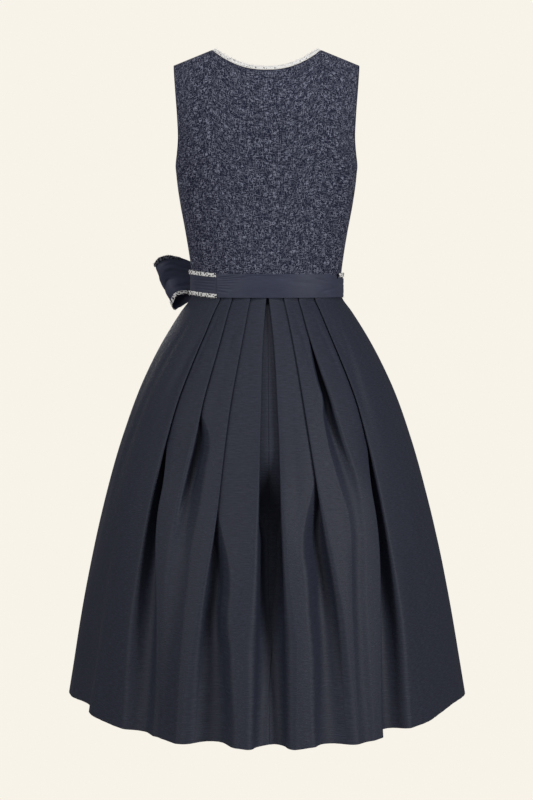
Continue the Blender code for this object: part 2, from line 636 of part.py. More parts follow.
def body_ring(azimuth, drop, stand):
    """Points and normals of the plain skirt ring at azimuths from the centre back, moved out by stand."""
    half_width, half_depth, power = skirt_size(drop)
    angle = np.radians(azimuth)
    ray = np.stack([np.sin(angle), np.cos(angle)], axis=-1)
    scaled = np.abs(ray) / np.stack([half_width + 0 * angle, half_depth + 0 * angle], axis=-1)
    radius = np.sum(scaled ** np.stack([power + 0 * angle] * 2, axis=-1), axis=-1) ** (-1 / power)
    place = ray * radius[..., None]
    slope = np.sign(ray) * (np.abs(place) / np.array([half_width, half_depth])) ** (power - 1)
    normal = unit(slope / np.array([half_width, half_depth]))
    return place + normal * np.asarray(stand)[..., None], normal


def apron_row(drop, columns):
    """One row of the apron, in soft gathers that deepen towards its hem."""
    share = (drop - APRON_TOP_DROP) / (WAIST_SEAM_Z - APRON_HEM_Z - APRON_TOP_DROP)
    span = APRON_TOP_SPAN + (APRON_HEM_SPAN - APRON_TOP_SPAN) * share
    t = np.linspace(-1, 1, columns)
    wave = APRON_WAVE_TOP + (APRON_WAVE_HEM - APRON_WAVE_TOP) * share ** 1.3
    stand = APRON_STAND_TOP + (APRON_STAND_HEM - APRON_STAND_TOP) * smooth(share * 3)
    uneven = 1 + 0.25 * np.sin(5.1 * t + 0.6)
    phase = math.pi * APRON_GATHERS * (t + 0.045 * np.sin(3.7 * t + 1.0))
    out = stand + wave * uneven * (0.5 + 0.5 * np.cos(phase))
    points = body_ring(180.0 + span * t, drop, out)[0]
    return np.column_stack([points, WAIST_SEAM_Z - drop + band_lift(180.0 + span * t) * (1 - share) ** 6])


def make_apron():
    rows = [apron_row(drop, 4 * APRON_GATHERS + 1) for drop in APRON_ROW_DROPS]
    points = np.stack(rows)
    normals = outward(points, grid_normals(points))
    wall("apron_panel", points, normals, APRON_WALL, "apron_taffeta")


def waist_ring(azimuth, half_width, half_depth, power):
    """Points and normals of an oval at azimuths from the centre back."""
    angle = np.radians(azimuth)
    ray = np.stack([np.sin(angle), np.cos(angle)], axis=-1)
    size = np.array([half_width, half_depth])
    place = ray * np.sum((np.abs(ray) / size) ** power, axis=-1, keepdims=True) ** (-1 / power)
    return place, unit(np.sign(ray) * (np.abs(place) / size) ** (power - 1) / size)


def waist_point(azimuth, z, stand):
    """A place on the sash, stand metres outside the dress, and the outward direction there. The sash is
    straight from its upper edge to its lower one."""
    share = ((z - SASH_BOTTOM_Z) / (SASH_TOP_Z - SASH_BOTTOM_Z))[..., None]
    low, low_normal = waist_ring(azimuth, *SASH_LOW_RING)
    high, high_normal = waist_ring(azimuth, *SASH_HIGH_RING)
    place = low + (high - low) * share
    normal = unit(low_normal + (high_normal - low_normal) * share)
    place = place + normal * np.asarray(stand)[..., None]
    return (np.concatenate([place, z[..., None]], axis=-1),
            np.concatenate([normal, 0 * z[..., None]], axis=-1))


def azimuths_between(start, end):
    """The start, the end and every fifth degree between them, so that stacked strips share their creases."""
    fives = np.arange(math.floor(start / 5) + 1, math.ceil(end / 5)) * 5.0
    fives = fives[(fives > start + 1) & (fives < end - 1)]
    return np.concatenate([[start], fives, [end]])


def band_lift(azimuth):
    """The sash rides up a little towards the bow."""
    return BAND_LIFT * smooth((azimuth - 42.0) / 40.0) * smooth((200.0 - azimuth) / 50.0)


def sash_strip(azimuths, low, high, stand):
    """Grid of a strip that lies round the waist: a row along its lower edge and one along its upper edge."""
    z = SASH_CENTRE_Z + band_lift(azimuths) + np.stack([low, high])
    azimuth = np.broadcast_to(azimuths, z.shape)
    return waist_point(azimuth, z, np.broadcast_to(stand, z.shape))


def make_band():
    azimuths = azimuths_between(BAND_LEFT_END, BAND_RIGHT_END)
    half = np.full_like(azimuths, BAND_HALF_HEIGHT)
    points, normals = sash_strip(azimuths, -half, half, BAND_STAND)
    wall("apron_band", points, normals, RIBBON_WALL, "satin_ribbon")
    stand = SEAM_GAP * 2 + RIBBON_WALL + BRAID_WALL / 2
    outer = BAND_HALF_HEIGHT + BAND_BRAID_OVERHANG
    for name, sign, end in (("upper", 1, BAND_RIGHT_END), ("lower", -1, LOW_BRAID_RIGHT_END)):
        azimuths = azimuths_between(BAND_LEFT_END, end)
        edges = np.array([[outer - BAND_BRAID_HEIGHT], [outer]]) * sign + 0 * azimuths
        points, normals = sash_strip(azimuths, *np.sort(edges, axis=0), stand)
        wall("band_braid_" + name, points, normals, BRAID_WALL, "braid")


def make_tie():
    """The ribbon starts at the band's left end and runs round the back, the right side and the front."""
    azimuths = azimuths_between(KNOT_AZIMUTH - 360 + 6.5, BAND_LEFT_END - 0.35)
    right = -azimuths
    over = smooth((right - 52) / 16)
    high = TIE_HALF_HEIGHT + (TIE_NARROW_HALF - TIE_HALF_HEIGHT) * smooth((right - 60) / 11)
    low = TIE_HALF_HEIGHT + (TIE_NARROW_HALF - TIE_HALF_HEIGHT) * smooth((right - 78) / 11)
    stand = BAND_STAND + (OVER_BAND_STAND - BAND_STAND) * over
    points, normals = sash_strip(azimuths + 360 * (azimuths < 0), -low, high, stand)
    wall("tie_ribbon", points, outward(points, normals), RIBBON_WALL, "satin_ribbon")


def knot_frame():
    """Centre of the knot, the direction out of the body there, and the direction along the waist."""
    azimuth = np.array([KNOT_AZIMUTH])
    z = np.array([SASH_CENTRE_Z + float(band_lift(azimuth)[0])])
    stand = np.array([BAND_STAND + RIBBON_WALL / 2 + SEAM_GAP + KNOT_HALF[1]])
    place, normal = waist_point(azimuth, z, stand)
    outwards = normal[0]
    return place[0], outwards, np.array([-outwards[1], outwards[0], 0.0])


def loop_surface(turn, across, loop):
    """A bow loop: a drop shape in plan, pinched at the knot, and as tall as its table says. Its upper edge
    reaches further than its lower one by its slant."""
    length = np.sin(math.pi * turn) ** 0.75
    gap = LOOP_PINCH_GAP + (LOOP_OPEN - LOOP_PINCH_GAP) * np.sin(math.pi * turn)
    upper, first, last = (from_table(LOOP_SHAPE, LOOP_COLUMNS, name, length) for name in LOOP_COLUMNS[1:])
    lower = first + (last - first) * smooth((turn - 0.45) / 0.1)
    far = (loop["reach"] + loop["slant"] * across) * length
    along = (KNOT_HALF[0] + loop["start"] + far)[..., None]
    height = loop["size"] * MM * (upper - lower + across * (upper + lower)) / 2
    lift = (height + loop["rise"] * far)[..., None]
    apart = (np.cos(math.pi * turn) * gap)[..., None]
    return loop["centre"] + loop["along"] * along + loop["first"] * apart + np.array([0, 0, 1.0]) * lift


def loop_strip(turn, across, loop):
    """A grid on the loop and its normals, which point out of it. Each layer has one hollow, which starts at
    the knot and ends before the fold."""
    t, w = np.meshgrid(turn, across)
    points = loop_surface(t, w, loop)
    normals = grid_normals(points)
    if normals[0, len(turn) // 2] @ loop["along"] < 0:
        normals = -normals
    hollow = LOOP_HOLLOW * np.exp(-((w + 0.15) / 0.33) ** 2) * np.abs(np.sin(2 * math.pi * t)) ** 0.7
    return points - normals * hollow[..., None], normals


def make_loop(name, **loop):
    turn = np.linspace(0, 1, 19)
    turn = turn + 0.04 * np.sin(2 * math.pi * turn)
    points, normals = loop_strip(turn, np.array([-1.0, -0.55, -0.15, 0.3, 1.0]), loop)
    wall(name, points, normals, RIBBON_WALL, "satin_ribbon")
    for edge, sign in (("upper", 1), ("lower", -1)):
        strip, normals = loop_strip(turn[2:-2], sign * np.array(LOOP_BRAID_SHARES), loop)
        strip = strip + normals * (RIBBON_WALL / 2 + SEAM_GAP + BRAID_WALL / 2)
        wall("%s_braid_%s" % (name, edge), strip, normals, BRAID_WALL, "braid")


def tail_surface(t, w, azimuth, length, swing, stand, slant):
    """A tail that lies down the apron: t runs down it, w across it, its end cut on a slant."""
    fall = t * length + slant * w * t
    drop = WAIST_SEAM_Z - TAIL_TOP_Z + fall
    half = TAIL_TOP_HALF_WIDTH + (TAIL_HALF_WIDTH - TAIL_TOP_HALF_WIDTH) * smooth(t / 0.35)
    place = np.empty(t.shape + (3,))
    for i in range(t.shape[0]):
        for j in range(t.shape[1]):
            size = skirt_size(drop[i, j])
            at = azimuth + swing * t[i, j] + math.degrees(w[i, j] * half[i, j] / size[0])
            point = body_ring(np.array([at]), drop[i, j], np.array([stand[i, j]]))[0][0]
            place[i, j] = (point[0], point[1], WAIST_SEAM_Z - drop[i, j])
    return place


def make_tail(name, azimuth, length, swing, lift, slant):
    down = np.array([0, 0.05, 0.10, 0.17, 0.26, 0.38, 0.55, 0.76, 1.0])
    clear = APRON_STAND_HEM + APRON_WAVE_HEM * 0.9

    def surface(across):
        w, t = np.meshgrid(across, down)
        stand = lift + clear * (0.6 + 0.4 * smooth(t))
        return tail_surface(t, w, azimuth, length, swing, stand, slant)

    points = surface(np.array([-1.0, -0.4, 0.4, 1.0]))
    wall(name, points, outward(points, grid_normals(points)), RIBBON_WALL, "satin_ribbon")
    inset = TAIL_BRAID_HEIGHT / TAIL_HALF_WIDTH
    for edge, sign in (("left", 1), ("right", -1)):
        strip = surface(np.array([sign * (1 - inset), sign * 1.0]))[3:]
        normals = outward(strip, grid_normals(strip))
        strip = strip + normals * (RIBBON_WALL / 2 + SEAM_GAP + BRAID_WALL / 2)
        wall("%s_braid_%s" % (name, edge), strip, normals, BRAID_WALL, "braid")


def make_knot(centre, outwards, sideways):
    """The knot: a rounded lump, a boxy oval in each of its cross-sections."""
    profile = [(0.0, -1.0), (0.62, -0.94), (0.93, -0.55), (1.0, 0.0), (0.93, 0.55), (0.62, 0.94), (0.0, 1.0)]
    sides = 16
    angles = np.arange(sides) * 2 * math.pi / sides
    ring = np.stack([np.cos(angles), np.sin(angles)], axis=1)
    ring = np.sign(ring) * np.abs(ring) ** 0.7
    vertices = [centre - np.array([0, 0, KNOT_HALF[2]]), centre + np.array([0, 0, KNOT_HALF[2]])]
    for radius, height in profile[1:-1]:
        flat = np.outer(ring[:, 0], sideways) * KNOT_HALF[0] + np.outer(ring[:, 1], outwards) * KNOT_HALF[1]
        vertices.extend(centre + flat * radius + np.array([0, 0, height * KNOT_HALF[2]]))
    faces = []
    levels = len(profile) - 2
    for k in range(sides):
        after = (k + 1) % sides
        faces.append((0, 2 + after, 2 + k))
        for level in range(levels - 1):
            base = 2 + level * sides
            faces.append((base + k, base + after, base + sides + after, base + sides + k))
        last = 2 + (levels - 1) * sides
        faces.append((last + k, last + after, 1))
    return mesh_object("bow_knot", np.array(vertices), faces, "satin_ribbon")


def make_bow():
    centre, outwards, sideways = knot_frame()
    make_knot(centre, outwards, sideways)
    side_way = unit(np.array([1.0, 0.12, 0.0]))
    make_loop(
        "bow_loop_side", start=SIDE_LOOP_START, reach=SIDE_LOOP_REACH, slant=SIDE_LOOP_SLANT, size=1.0, rise=0.0,
        centre=centre, along=side_way, first=np.array([-side_way[1], side_way[0], 0.0]),
    )
    make_loop(
        "bow_loop_front", start=FRONT_LOOP_START, reach=FRONT_LOOP_REACH, slant=0.0, size=FRONT_LOOP_SIZE,
        rise=-0.05, centre=centre, along=-sideways, first=-outwards,
    )
    make_tail("bow_tail_long", 180.0 - 52.0, 0.36, 5.0, 1.0 * MM, 0.012)
    make_tail("bow_tail_short", 180.0 - 46.0, 0.31, 14.0, 6.5 * MM, -0.012)


def main():
    clear_scene()
    make_neck_braid(*make_bodice())
    make_buttons()
    make_skirt()
    make_apron()
    make_band()
    make_tie()
    make_bow()


main()
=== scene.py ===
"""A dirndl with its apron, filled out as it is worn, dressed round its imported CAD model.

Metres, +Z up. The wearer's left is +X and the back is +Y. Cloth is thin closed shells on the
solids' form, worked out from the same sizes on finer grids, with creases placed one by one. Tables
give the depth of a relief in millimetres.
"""
import math

import bpy
import numpy as np
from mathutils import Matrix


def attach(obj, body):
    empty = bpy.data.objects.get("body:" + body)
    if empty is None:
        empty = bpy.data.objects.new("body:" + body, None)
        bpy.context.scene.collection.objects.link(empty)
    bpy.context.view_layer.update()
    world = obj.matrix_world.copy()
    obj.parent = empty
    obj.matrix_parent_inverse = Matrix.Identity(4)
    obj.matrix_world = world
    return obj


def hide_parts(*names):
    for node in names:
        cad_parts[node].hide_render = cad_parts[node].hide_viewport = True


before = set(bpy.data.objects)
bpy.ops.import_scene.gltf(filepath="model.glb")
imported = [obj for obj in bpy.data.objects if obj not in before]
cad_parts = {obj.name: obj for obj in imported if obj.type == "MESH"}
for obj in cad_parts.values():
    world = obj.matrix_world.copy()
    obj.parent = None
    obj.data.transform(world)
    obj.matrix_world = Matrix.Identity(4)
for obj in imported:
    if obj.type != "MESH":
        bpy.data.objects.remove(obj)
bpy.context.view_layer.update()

MM = 0.001
SEAM_GAP = 0.3 * MM
# The cloths meet closer than the solids, so that no light shows through a seam.
BUTT_GAP = 0.03 * MM
# How far one edge of the centre-back seam, and of a side seam, reaches behind the other.
SEAM_TUCK = 2 * MM

# Walls of the solids, and of the thinner cloths here by their finish.
BODICE_WALL, SKIRT_WALL, RIBBON_WALL, BRAID_WALL = 1.5 * MM, 1.4 * MM, 1.1 * MM, 2.0 * MM
CLOTH_WALL = {
    "wool": 1.3 * MM, "skirt": 1.0 * MM, "apron": 0.8 * MM, "satin": 0.6 * MM, "braid": 1.2 * MM,
}

# Main heights.
NECK_POINT_Z = 0.013
SHOULDER_TIP_Z = -0.013
UNDERARM_Z = -0.187
SASH_TOP_Z = -0.3655
WAIST_SEAM_Z = -0.385
SASH_BOTTOM_Z = -0.4053
APRON_HEM_Z = -1.068
HEM_DROP = 0.71

NECK_HALF = 0.0936
SHOULDER_HALF = 0.1580
BACK_NECK_Z = -0.0275
FRONT_NECK_Z = -0.165
BACK_NECK_POWER = 2.2
FRONT_NECK_POWER = 1.9
NECK_BRAID_HEIGHT = 5.5 * MM
SHOULDER_ROUND = 0.16

BODICE_COLUMNS = ("height", "half_width", "back_depth", "front_depth", "power")
BODICE_SECTIONS = (
    (-0.385, 0.1266, 0.0948, 0.0948, 2.02),
    (-0.3655, 0.1278, 0.0946, 0.0955, 2.08),
    (-0.335, 0.1316, 0.0940, 0.0985, 2.20),
    (-0.290, 0.1388, 0.0935, 0.1035, 2.35),
    (-0.248, 0.1467, 0.0940, 0.1080, 2.40),
    (-0.214, 0.1517, 0.0950, 0.1100, 2.40),
    (-0.187, 0.1545, 0.0955, 0.1090, 2.40),
    (-0.165, 0.1580, 0.0955, 0.1060, 2.40),
    (-0.105, 0.1660, 0.0940, 0.0980, 2.40),
    (-0.050, 0.1710, 0.0900, 0.0920, 2.40),
    (0.013, 0.1750, 0.0850, 0.0880, 2.40),
)
ARMHOLE_COLUMNS = ("height", "back_half", "front_half")
ARMHOLE = (
    (-0.187, 0.1545, 0.1545),
    (-0.180, 0.1537, 0.1510),
    (-0.165, 0.1512, 0.1440),
    (-0.140, 0.1488, 0.1375),
    (-0.105, 0.1500, 0.1370),
    (-0.060, 0.1537, 0.1440),
    (-0.013, 0.1580, 0.1580),
)
CUP_CENTRE_X, CUP_CENTRE_Z, CUP_FULLNESS = 0.078, -0.212, 19 * MM
CUP_SPREAD_X, CUP_SPREAD_Z = 0.037, 0.035
# The bodice's mean radius, which turns an angle into a run of cloth.
MEAN_RADIUS = 0.125
# Columns from the centre line to the neck point, and rows below and above the underarm point.
NECK_COLUMNS, LOWER_ROWS, UPPER_ROWS = 34, 56, 60
# Rounds in which the height of a column's top closes in on the upper edge.
TOP_ROUNDS = 34

SKIRT_COLUMNS = ("drop", "half_width", "power")
SKIRT_SECTIONS = (
    (0.000, 0.1267, 2.00),
    (0.020, 0.1290, 2.00),
    (0.045, 0.1462, 2.00),
    (0.095, 0.1774, 2.00),
    (0.165, 0.2126, 2.00),
    (0.255, 0.2465, 1.98),
    (0.375, 0.2807, 1.95),
    (0.515, 0.3122, 1.87),
    (0.710, 0.3466, 1.74),
)
WAIST_HALF_DEPTH = 0.0948
HEM_HALF_DEPTH = 0.358

# Pleats of each quarter, from its centre line outwards: near the solids' own, with rounder turns.
# The edges are azimuths of the fold's outer edge at the drops named first. Opens, deepest and
# settles are drops, swings and walls are in degrees, and laps in millimetres.
EDGE_DROPS = (0.0, 0.05, 0.20, 0.36, 0.50, 0.71)
FLAT_SWINGS = (165.0, 170.0)
PLEAT_COLUMNS = (
    "edges", "opens", "deepest", "settles", "flat_lap", "deep_swing", "deep_lap", "deep_wall",
    "hem_swing", "hem_lap", "takes_wall",
)
CENTRE_LEFT = ((-0.4, 1.5, 2.5, 2.6, 2.8, 3.4), 0.25, 0.41, 0.71, 25, 86, 52, 5, 78, 8, 0)
CENTRE_RIGHT = ((1.6, 3.6, 4.9, 4.9, 5.4, 5.5), 0.25, 0.41, 0.71, 25, 100, 52, 5, 84, 8, 0)
PLEATS = {
    "back_left": (
        CENTRE_LEFT,
        ((16.6, 15.5, 16.2, 16.8, 19.0, 20.2), 0.32, 0.49, 0.71, 12, 90, 22, 48, 58, 20, 1),
        ((35.6, 31.2, 29.3, 31.3, 31.3, 30.5), 0.19, 0.27, 0.44, 12, 130, 13, 42, 16, 10, 1),
        ((46.8, 43.4, 42.9, 44.2, 43.8, 43.0), 0.20, 0.34, 0.71, 14, 112, 29, 62, 30, 18, 1),
    ),
    "back_right": (
        CENTRE_RIGHT,
        ((17.4, 16.8, 16.8, 18.8, 21.2, 22.2), 0.27, 0.43, 0.71, 12, 94, 20, 46, 44, 16, 1),
        ((33.2, 29.2, 30.2, 34.0, 31.0, 29.5), 0.03, 0.17, 0.37, 12, 138, 14, 61, 15, 8, 1),
        ((49.0, 44.8, 43.9, 43.8, 43.9, 42.6), 0.20, 0.35, 0.71, 14, 112, 29, 64, 62, 18, 1),
    ),
    "front_left": (
        ((44.0, 42.5, 42.5, 43.0, 44.0, 44.0), 0.26, 0.42, 0.71, 12, 112, 20, 50, 50, 16, 1),
        ((60.0, 58.0, 57.5, 58.5, 60.0, 60.5), 0.22, 0.36, 0.71, 12, 122, 22, 55, 34, 18, 1),
    ),
    "front_right": (
        ((43.0, 42.0, 42.0, 42.0, 43.0, 43.5), 0.24, 0.38, 0.71, 12, 116, 21, 52, 42, 16, 1),
        ((59.0, 57.0, 57.0, 58.0, 58.5, 59.0), 0.28, 0.44, 0.71, 12, 110, 20, 50, 52, 18, 1),
    ),
}
# Radii of a fold's turns while it is flat, where it is deepest and where it has settled. Beside a
# steep wall the inner turn is crisp, and the other turns of that fold are loosened less.
FOLD_RADII = {
    "edge": (0.95 * MM, 3.0 * MM, 10.0 * MM),
    "groove": (0.95 * MM, 5.0 * MM, 15.0 * MM),
    "inner": (0.95 * MM, 12.0 * MM, 14.0 * MM),
    "crisp_inner": (0.95 * MM, 3.0 * MM, 5.0 * MM),
}
TURN_SLACK = {"inner": 1.2, "crisp_inner": 0.3}
CRISP_WALL = 60.0
# The share of a fold's rise that its loosened turns may take, and the least share it stands open.
TURN_SHARE, LEAST_OPEN = 0.93, 0.02
# Points on each turn of a fold, on the straight layer between two, on the flat between two folds
# and on the wide flats at a seam.
ARC_POINTS, LAP_POINTS, PANEL_POINTS, WIDE_POINTS = 7, 3, 12, 26

# Soft troughs of the skirt: azimuths and half widths in degrees, drops in metres, depths in
# millimetres.
TROUGH_COLUMNS = (
    "azimuth_top", "azimuth_hem", "starts", "full", "fades", "inner", "outer", "depth",
)
TROUGHS = (
    (44.5, 55.0, 0.03, 0.12, 0.30, 2.5, 5.0, 3.0),
    (-46.5, -46.0, 0.03, 0.12, 0.28, 2.0, 4.0, 2.5),
    (30.0, 33.0, 0.42, 0.70, 2.00, 4.5, 7.0, 14.0),
    (60.0, 68.0, 0.32, 0.70, 2.00, 4.5, 13.0, 18.0),
    (-66.0, -64.0, 0.30, 0.70, 2.00, 12.0, 12.0, 9.0),
    (104.0, 107.0, 0.16, 0.60, 2.00, 6.0, 8.0, 13.0),
    (-105.0, -108.0, 0.20, 0.62, 2.00, 8.0, 6.0, 12.0),
    (158.0, 158.0, 0.22, 0.60, 2.00, 8.0, 8.0, 12.0),
    (-160.0, -159.0, 0.24, 0.62, 2.00, 8.0, 8.0, 12.0),
)
SEAM_AZIMUTH = {"back_left": -1.0, "back_right": 1.0, "front_left": 0.0, "front_right": 0.0}
SIDES = {"back_left": (1, 1), "back_right": (-1, 1), "front_left": (1, -1), "front_right": (-1, -1)}

APRON_TOP_SPAN, APRON_HEM_SPAN = 74.0, 65.0
APRON_GATHERS = 13
APRON_STAND_TOP, APRON_STAND_HEM = 2.2 * MM, 6.0 * MM
APRON_WAVE_TOP, APRON_WAVE_HEM = 1.0 * MM, 9.0 * MM
APRON_TOP_DROP = 0.0223

# Azimuths of the sash run from the centre back over the wearer's left side to the front.
BAND_LEFT_END = 47.4
BAND_RIGHT_END = 287.4
LOW_BRAID_RIGHT_END = 268.0
KNOT_AZIMUTH = 128.0
BAND_LIFT = 5 * MM
BAND_HALF_HEIGHT = 18.5 * MM
BAND_BRAID_HEIGHT = 6.5 * MM
BAND_BRAID_OVERHANG = 2.0 * MM
TIE_HALF_HEIGHT = 19.8 * MM
TIE_NARROW_HALF = 12.0 * MM
SASH_LOW_RING = (0.1291 + SKIRT_WALL / 2, 0.0974 + SKIRT_WALL / 2, 2.0)
SASH_HIGH_RING = (0.1288 + BODICE_WALL / 2, 0.0972 + BODICE_WALL / 2, 2.08)
BAND_STAND = SEAM_GAP + RIBBON_WALL / 2
OVER_BAND_STAND = 2 * SEAM_GAP + 1.5 * RIBBON_WALL
BRAID_STAND = RIBBON_WALL / 2 + SEAM_GAP + BRAID_WALL / 2
SASH_CENTRE_Z = (SASH_TOP_Z + SASH_BOTTOM_Z) / 2

KNOT_HALF = (11 * MM, 11 * MM, 17 * MM)
SIDE_LOOP_REACH, FRONT_LOOP_REACH = 70.5 * MM, 82 * MM
SIDE_LOOP_SLANT, SIDE_LOOP_WAY = 15.5 * MM, (1.0, 0.12, 0.0)
SIDE_LOOP_START, FRONT_LOOP_START = SEAM_GAP + RIBBON_WALL, 2 * SEAM_GAP
FRONT_LOOP_SIZE = 0.86
LOOP_OPEN = 23 * MM
LOOP_PINCH_GAP = 2.6 * MM
LOOP_HOLLOW = 5 * MM
LOOP_BULGE = 4.5 * MM
LOOP_BRAID_SHARES = (0.84, 1.015)
# A loop at shares of its length from the knot, in millimetres above and below its middle line. Its
# lower edge differs between the layer that leaves the knot and the one that comes back.
LOOP_COLUMNS = ("length", "upper", "first_lower", "last_lower")
LOOP_SHAPE = (
    (0.00, 11.0, 11.0, 11.0),
    (0.12, 28.5, 15.0, 19.0),
    (0.30, 37.0, 18.0, 28.0),
    (0.55, 44.0, 20.0, 37.0),
    (0.80, 45.5, 22.0, 45.0),
    (0.95, 38.5, 30.0, 46.0),
    (1.00, 32.0, 39.0, 39.0),
)
TAIL_TOP_Z = -0.3978
TAIL_HALF_WIDTH, TAIL_TOP_HALF_WIDTH, TAIL_BRAID_HEIGHT = 33 * MM, 9 * MM, 7 * MM

# Loose hairs on a metre of braid, and how far the longest stand out.
NECK_HAIRS, BAND_HAIRS, TAIL_HAIRS = 5200, 4300, 4000
NECK_FRINGE, RIBBON_FRINGE = 3.4 * MM, 2.6 * MM
HAIR_RADIUS, HAIR_CURL, INWARD_HAIRS = 0.17 * MM, 0.35, 0.22
STRAND_PITCH, STRAND_RELIEF, BRAID_ROWS = 5.2 * MM, 0.35 * MM, 7
# How white each braid is: 1 is nearly all white loops, and under 0.6 the white is greyer. The side
# loop's upper braid is set lower, darker and greyer, as painted shade.
NECK_TONE, BAND_TONE, RIBBON_TONE, SIDE_LOOP_TONES_UPPER_SHADED = 1.0, 0.68, 0.62, (0.62, 0.42)
# The darkened edges of the bodice, painted shade where the edge turns away together with the facing
# that shows there: how dark they are, and where that starts and how it fades.
EDGE_FACING_AND_SHADE_TONE, EDGE_FACING_AND_SHADE_WIDTH, EDGE_FACING_AND_SHADE_FADE = 0.95, 0.9 * MM, 1.8 * MM

# Columns and rows of the grids. The rows of the skirt and of the apron are closer together above
# these drops.
SKIRT_CLOSE_DROP, APRON_CLOSE_DROP = 0.05, 0.09
SKIRT_ROWS, APRON_COLUMNS, APRON_ROWS = (12, 96), 261, (22, 62)
BAND_GRID, TIE_GRID, LOOP_GRID, TAIL_GRID = (300, 53), (320, 57), (121, 41), (41, 120)
BAND_BRAID_COLUMNS, LOOP_BRAID_COLUMNS, TAIL_BRAID_COLUMNS = 260, 200, 100
# Columns of a loop that its braids leave free at the knot, how much closer its columns lie at the
# fold, and the share of a tail's length at which its braids start.
LOOP_FREE, LOOP_CROWDING, TAIL_FREE = 12, 0.04, 0.17
KNOT_RINGS, KNOT_SIDES = 41, 72

BUTTON_RADIUS, BUTTON_HEIGHT, BUTTON_X = 6 * MM, 3.2 * MM, 11 * MM
BUTTON_STAND = BODICE_WALL / 2 + 0.6 * MM
BUTTON_HEIGHTS = (-0.182, -0.215, -0.248, -0.281, -0.314, -0.347)

# The camera's place and tilt, and the focal length in pixels of a frame of that height.
CAMERA_PLACE, CAMERA_TILT = (0.0, 2.9, -0.354), 4.52
FOCAL_PIXELS, FRAME_PIXELS, SENSOR = 1682.4, 800, 36.0
LIGHT_TARGET = (0.0, 0.0, -0.5)
FLOOR_Z, FLOOR_RADIUS, FLOOR_SIDES, FLOOR_FADE = -1.75, 1.3, 64, (0.6, 1.25)
BACKDROP, AMBIENT, FLOOR_PAINT = ("#f8f3e9", 1.0), ("#f4f2f0", 0.12), "#f6f1e7"


def linear(hex_colour):
    """The sRGB hex colour as linear red, green, blue and alpha."""
    values = [int(hex_colour[i:i + 2], 16) / 255 for i in (1, 3, 5)]
    return [v / 12.92 if v <= 0.04045 else ((v + 0.055) / 1.055) ** 2.4 for v in values] + [1.0]


def smooth(t):
    """0 below 0, 1 above 1, and an even S between."""
    t = np.clip(t, 0.0, 1.0)
    return t * t * (3 - 2 * t)


def curve_through(xs, ys, at):
    """A cubic through the points, whose slope at each is that of its two neighbours."""
    xs, ys = np.asarray(xs, float), np.asarray(ys, float)
    slope = np.gradient(ys, xs)
    at = np.clip(at, xs[0], xs[-1])
    i = np.clip(np.searchsorted(xs, at) - 1, 0, len(xs) - 2)
    step = xs[i + 1] - xs[i]
    t = (at - xs[i]) / step
    start = ys[i] * (1 + 2 * t) * (1 - t) ** 2 + slope[i] * step * t * (1 - t) ** 2
    end = ys[i + 1] * t * t * (3 - 2 * t) + slope[i + 1] * step * t * t * (t - 1)
    return start + end


def from_table(table, columns, name, at):
    """One named column of a table, read smoothly at a value of its first column."""
    k = columns.index(name)
    return curve_through([row[0] for row in table], [row[k] for row in table], at)


def in_two(start, turn, end, first, second):
    """First points in even steps from start to turn, then second points in even steps to end."""
    return np.concatenate([np.linspace(start, turn, first)[:-1], np.linspace(turn, end, second)])


def unit(vectors):
    """The vectors brought to length 1."""
    return vectors / np.maximum(np.linalg.norm(vectors, axis=-1, keepdims=True), 1e-12)


def grid_normals(points):
    """Unit normals of a grid of points, from its steps along rows and columns."""
    return unit(np.cross(np.gradient(points, axis=1), np.gradient(points, axis=0)))


def outward(points, normals):
    """The normals, turned so that they point away from the middle of the body."""
    middle = np.array([0.0, 0.0, points[..., 2].mean()])
    return normals if np.sum((points - middle) * normals) > 0 else -normals


# Shares of a crease's length over which it starts and ends.
CREASE_START, CREASE_END = 0.18, 0.4


def creases(table, s, w):
    """Sum of soft troughs, each on a straight line from one place (s, w) to another: a bell across
    the line, faded out at both ends. Rows are from_s, from_w, to_s, to_w, width and depth."""
    total = np.zeros(np.broadcast(s, w).shape)
    for from_s, from_w, to_s, to_w, width, depth in table:
        run, climb = to_s - from_s, to_w - from_w
        length = math.hypot(run, climb)
        t = ((s - from_s) * run + (w - from_w) * climb) / length ** 2
        away = ((s - from_s) * climb - (w - from_w) * run) / length
        faded = depth * MM * smooth(t / CREASE_START) * smooth((1 - t) / CREASE_END)
        total += faded * np.exp(-((away / width) ** 2))
    return total


def ripple(s, w, waves):
    """Sum of a few long waves, uneven because their lengths share no measure. Rows are the waves
    per unit of s, those per unit of w, the phase and the height."""
    total = np.zeros(np.broadcast(s, w).shape)
    for along, down, phase, height in waves:
        total += height * MM * np.sin(2 * math.pi * (along * s + down * w) + phase)
    return total


# Mesh making


def facing_out(vertices, groups):
    """The groups of faces of a closed piece, all turned over if they enclose a negative volume."""
    volume = 0.0
    for group in groups:
        corners = vertices[group]
        for k in range(1, group.shape[1] - 1):
            turn = np.cross(corners[:, k], corners[:, k + 1])
            volume += np.einsum("ij,ij->i", corners[:, 0], turn).sum()
    return groups if volume > 0 else [group[:, ::-1] for group in groups]


def put_object(name, data, place=(0, 0, 0), turn=(0, 0, 0)):
    """An object in the scene, with its data, place and turn."""
    made = bpy.data.objects.new(name, data)
    made.location, made.rotation_euler = place, turn
    bpy.context.scene.collection.objects.link(made)
    return made


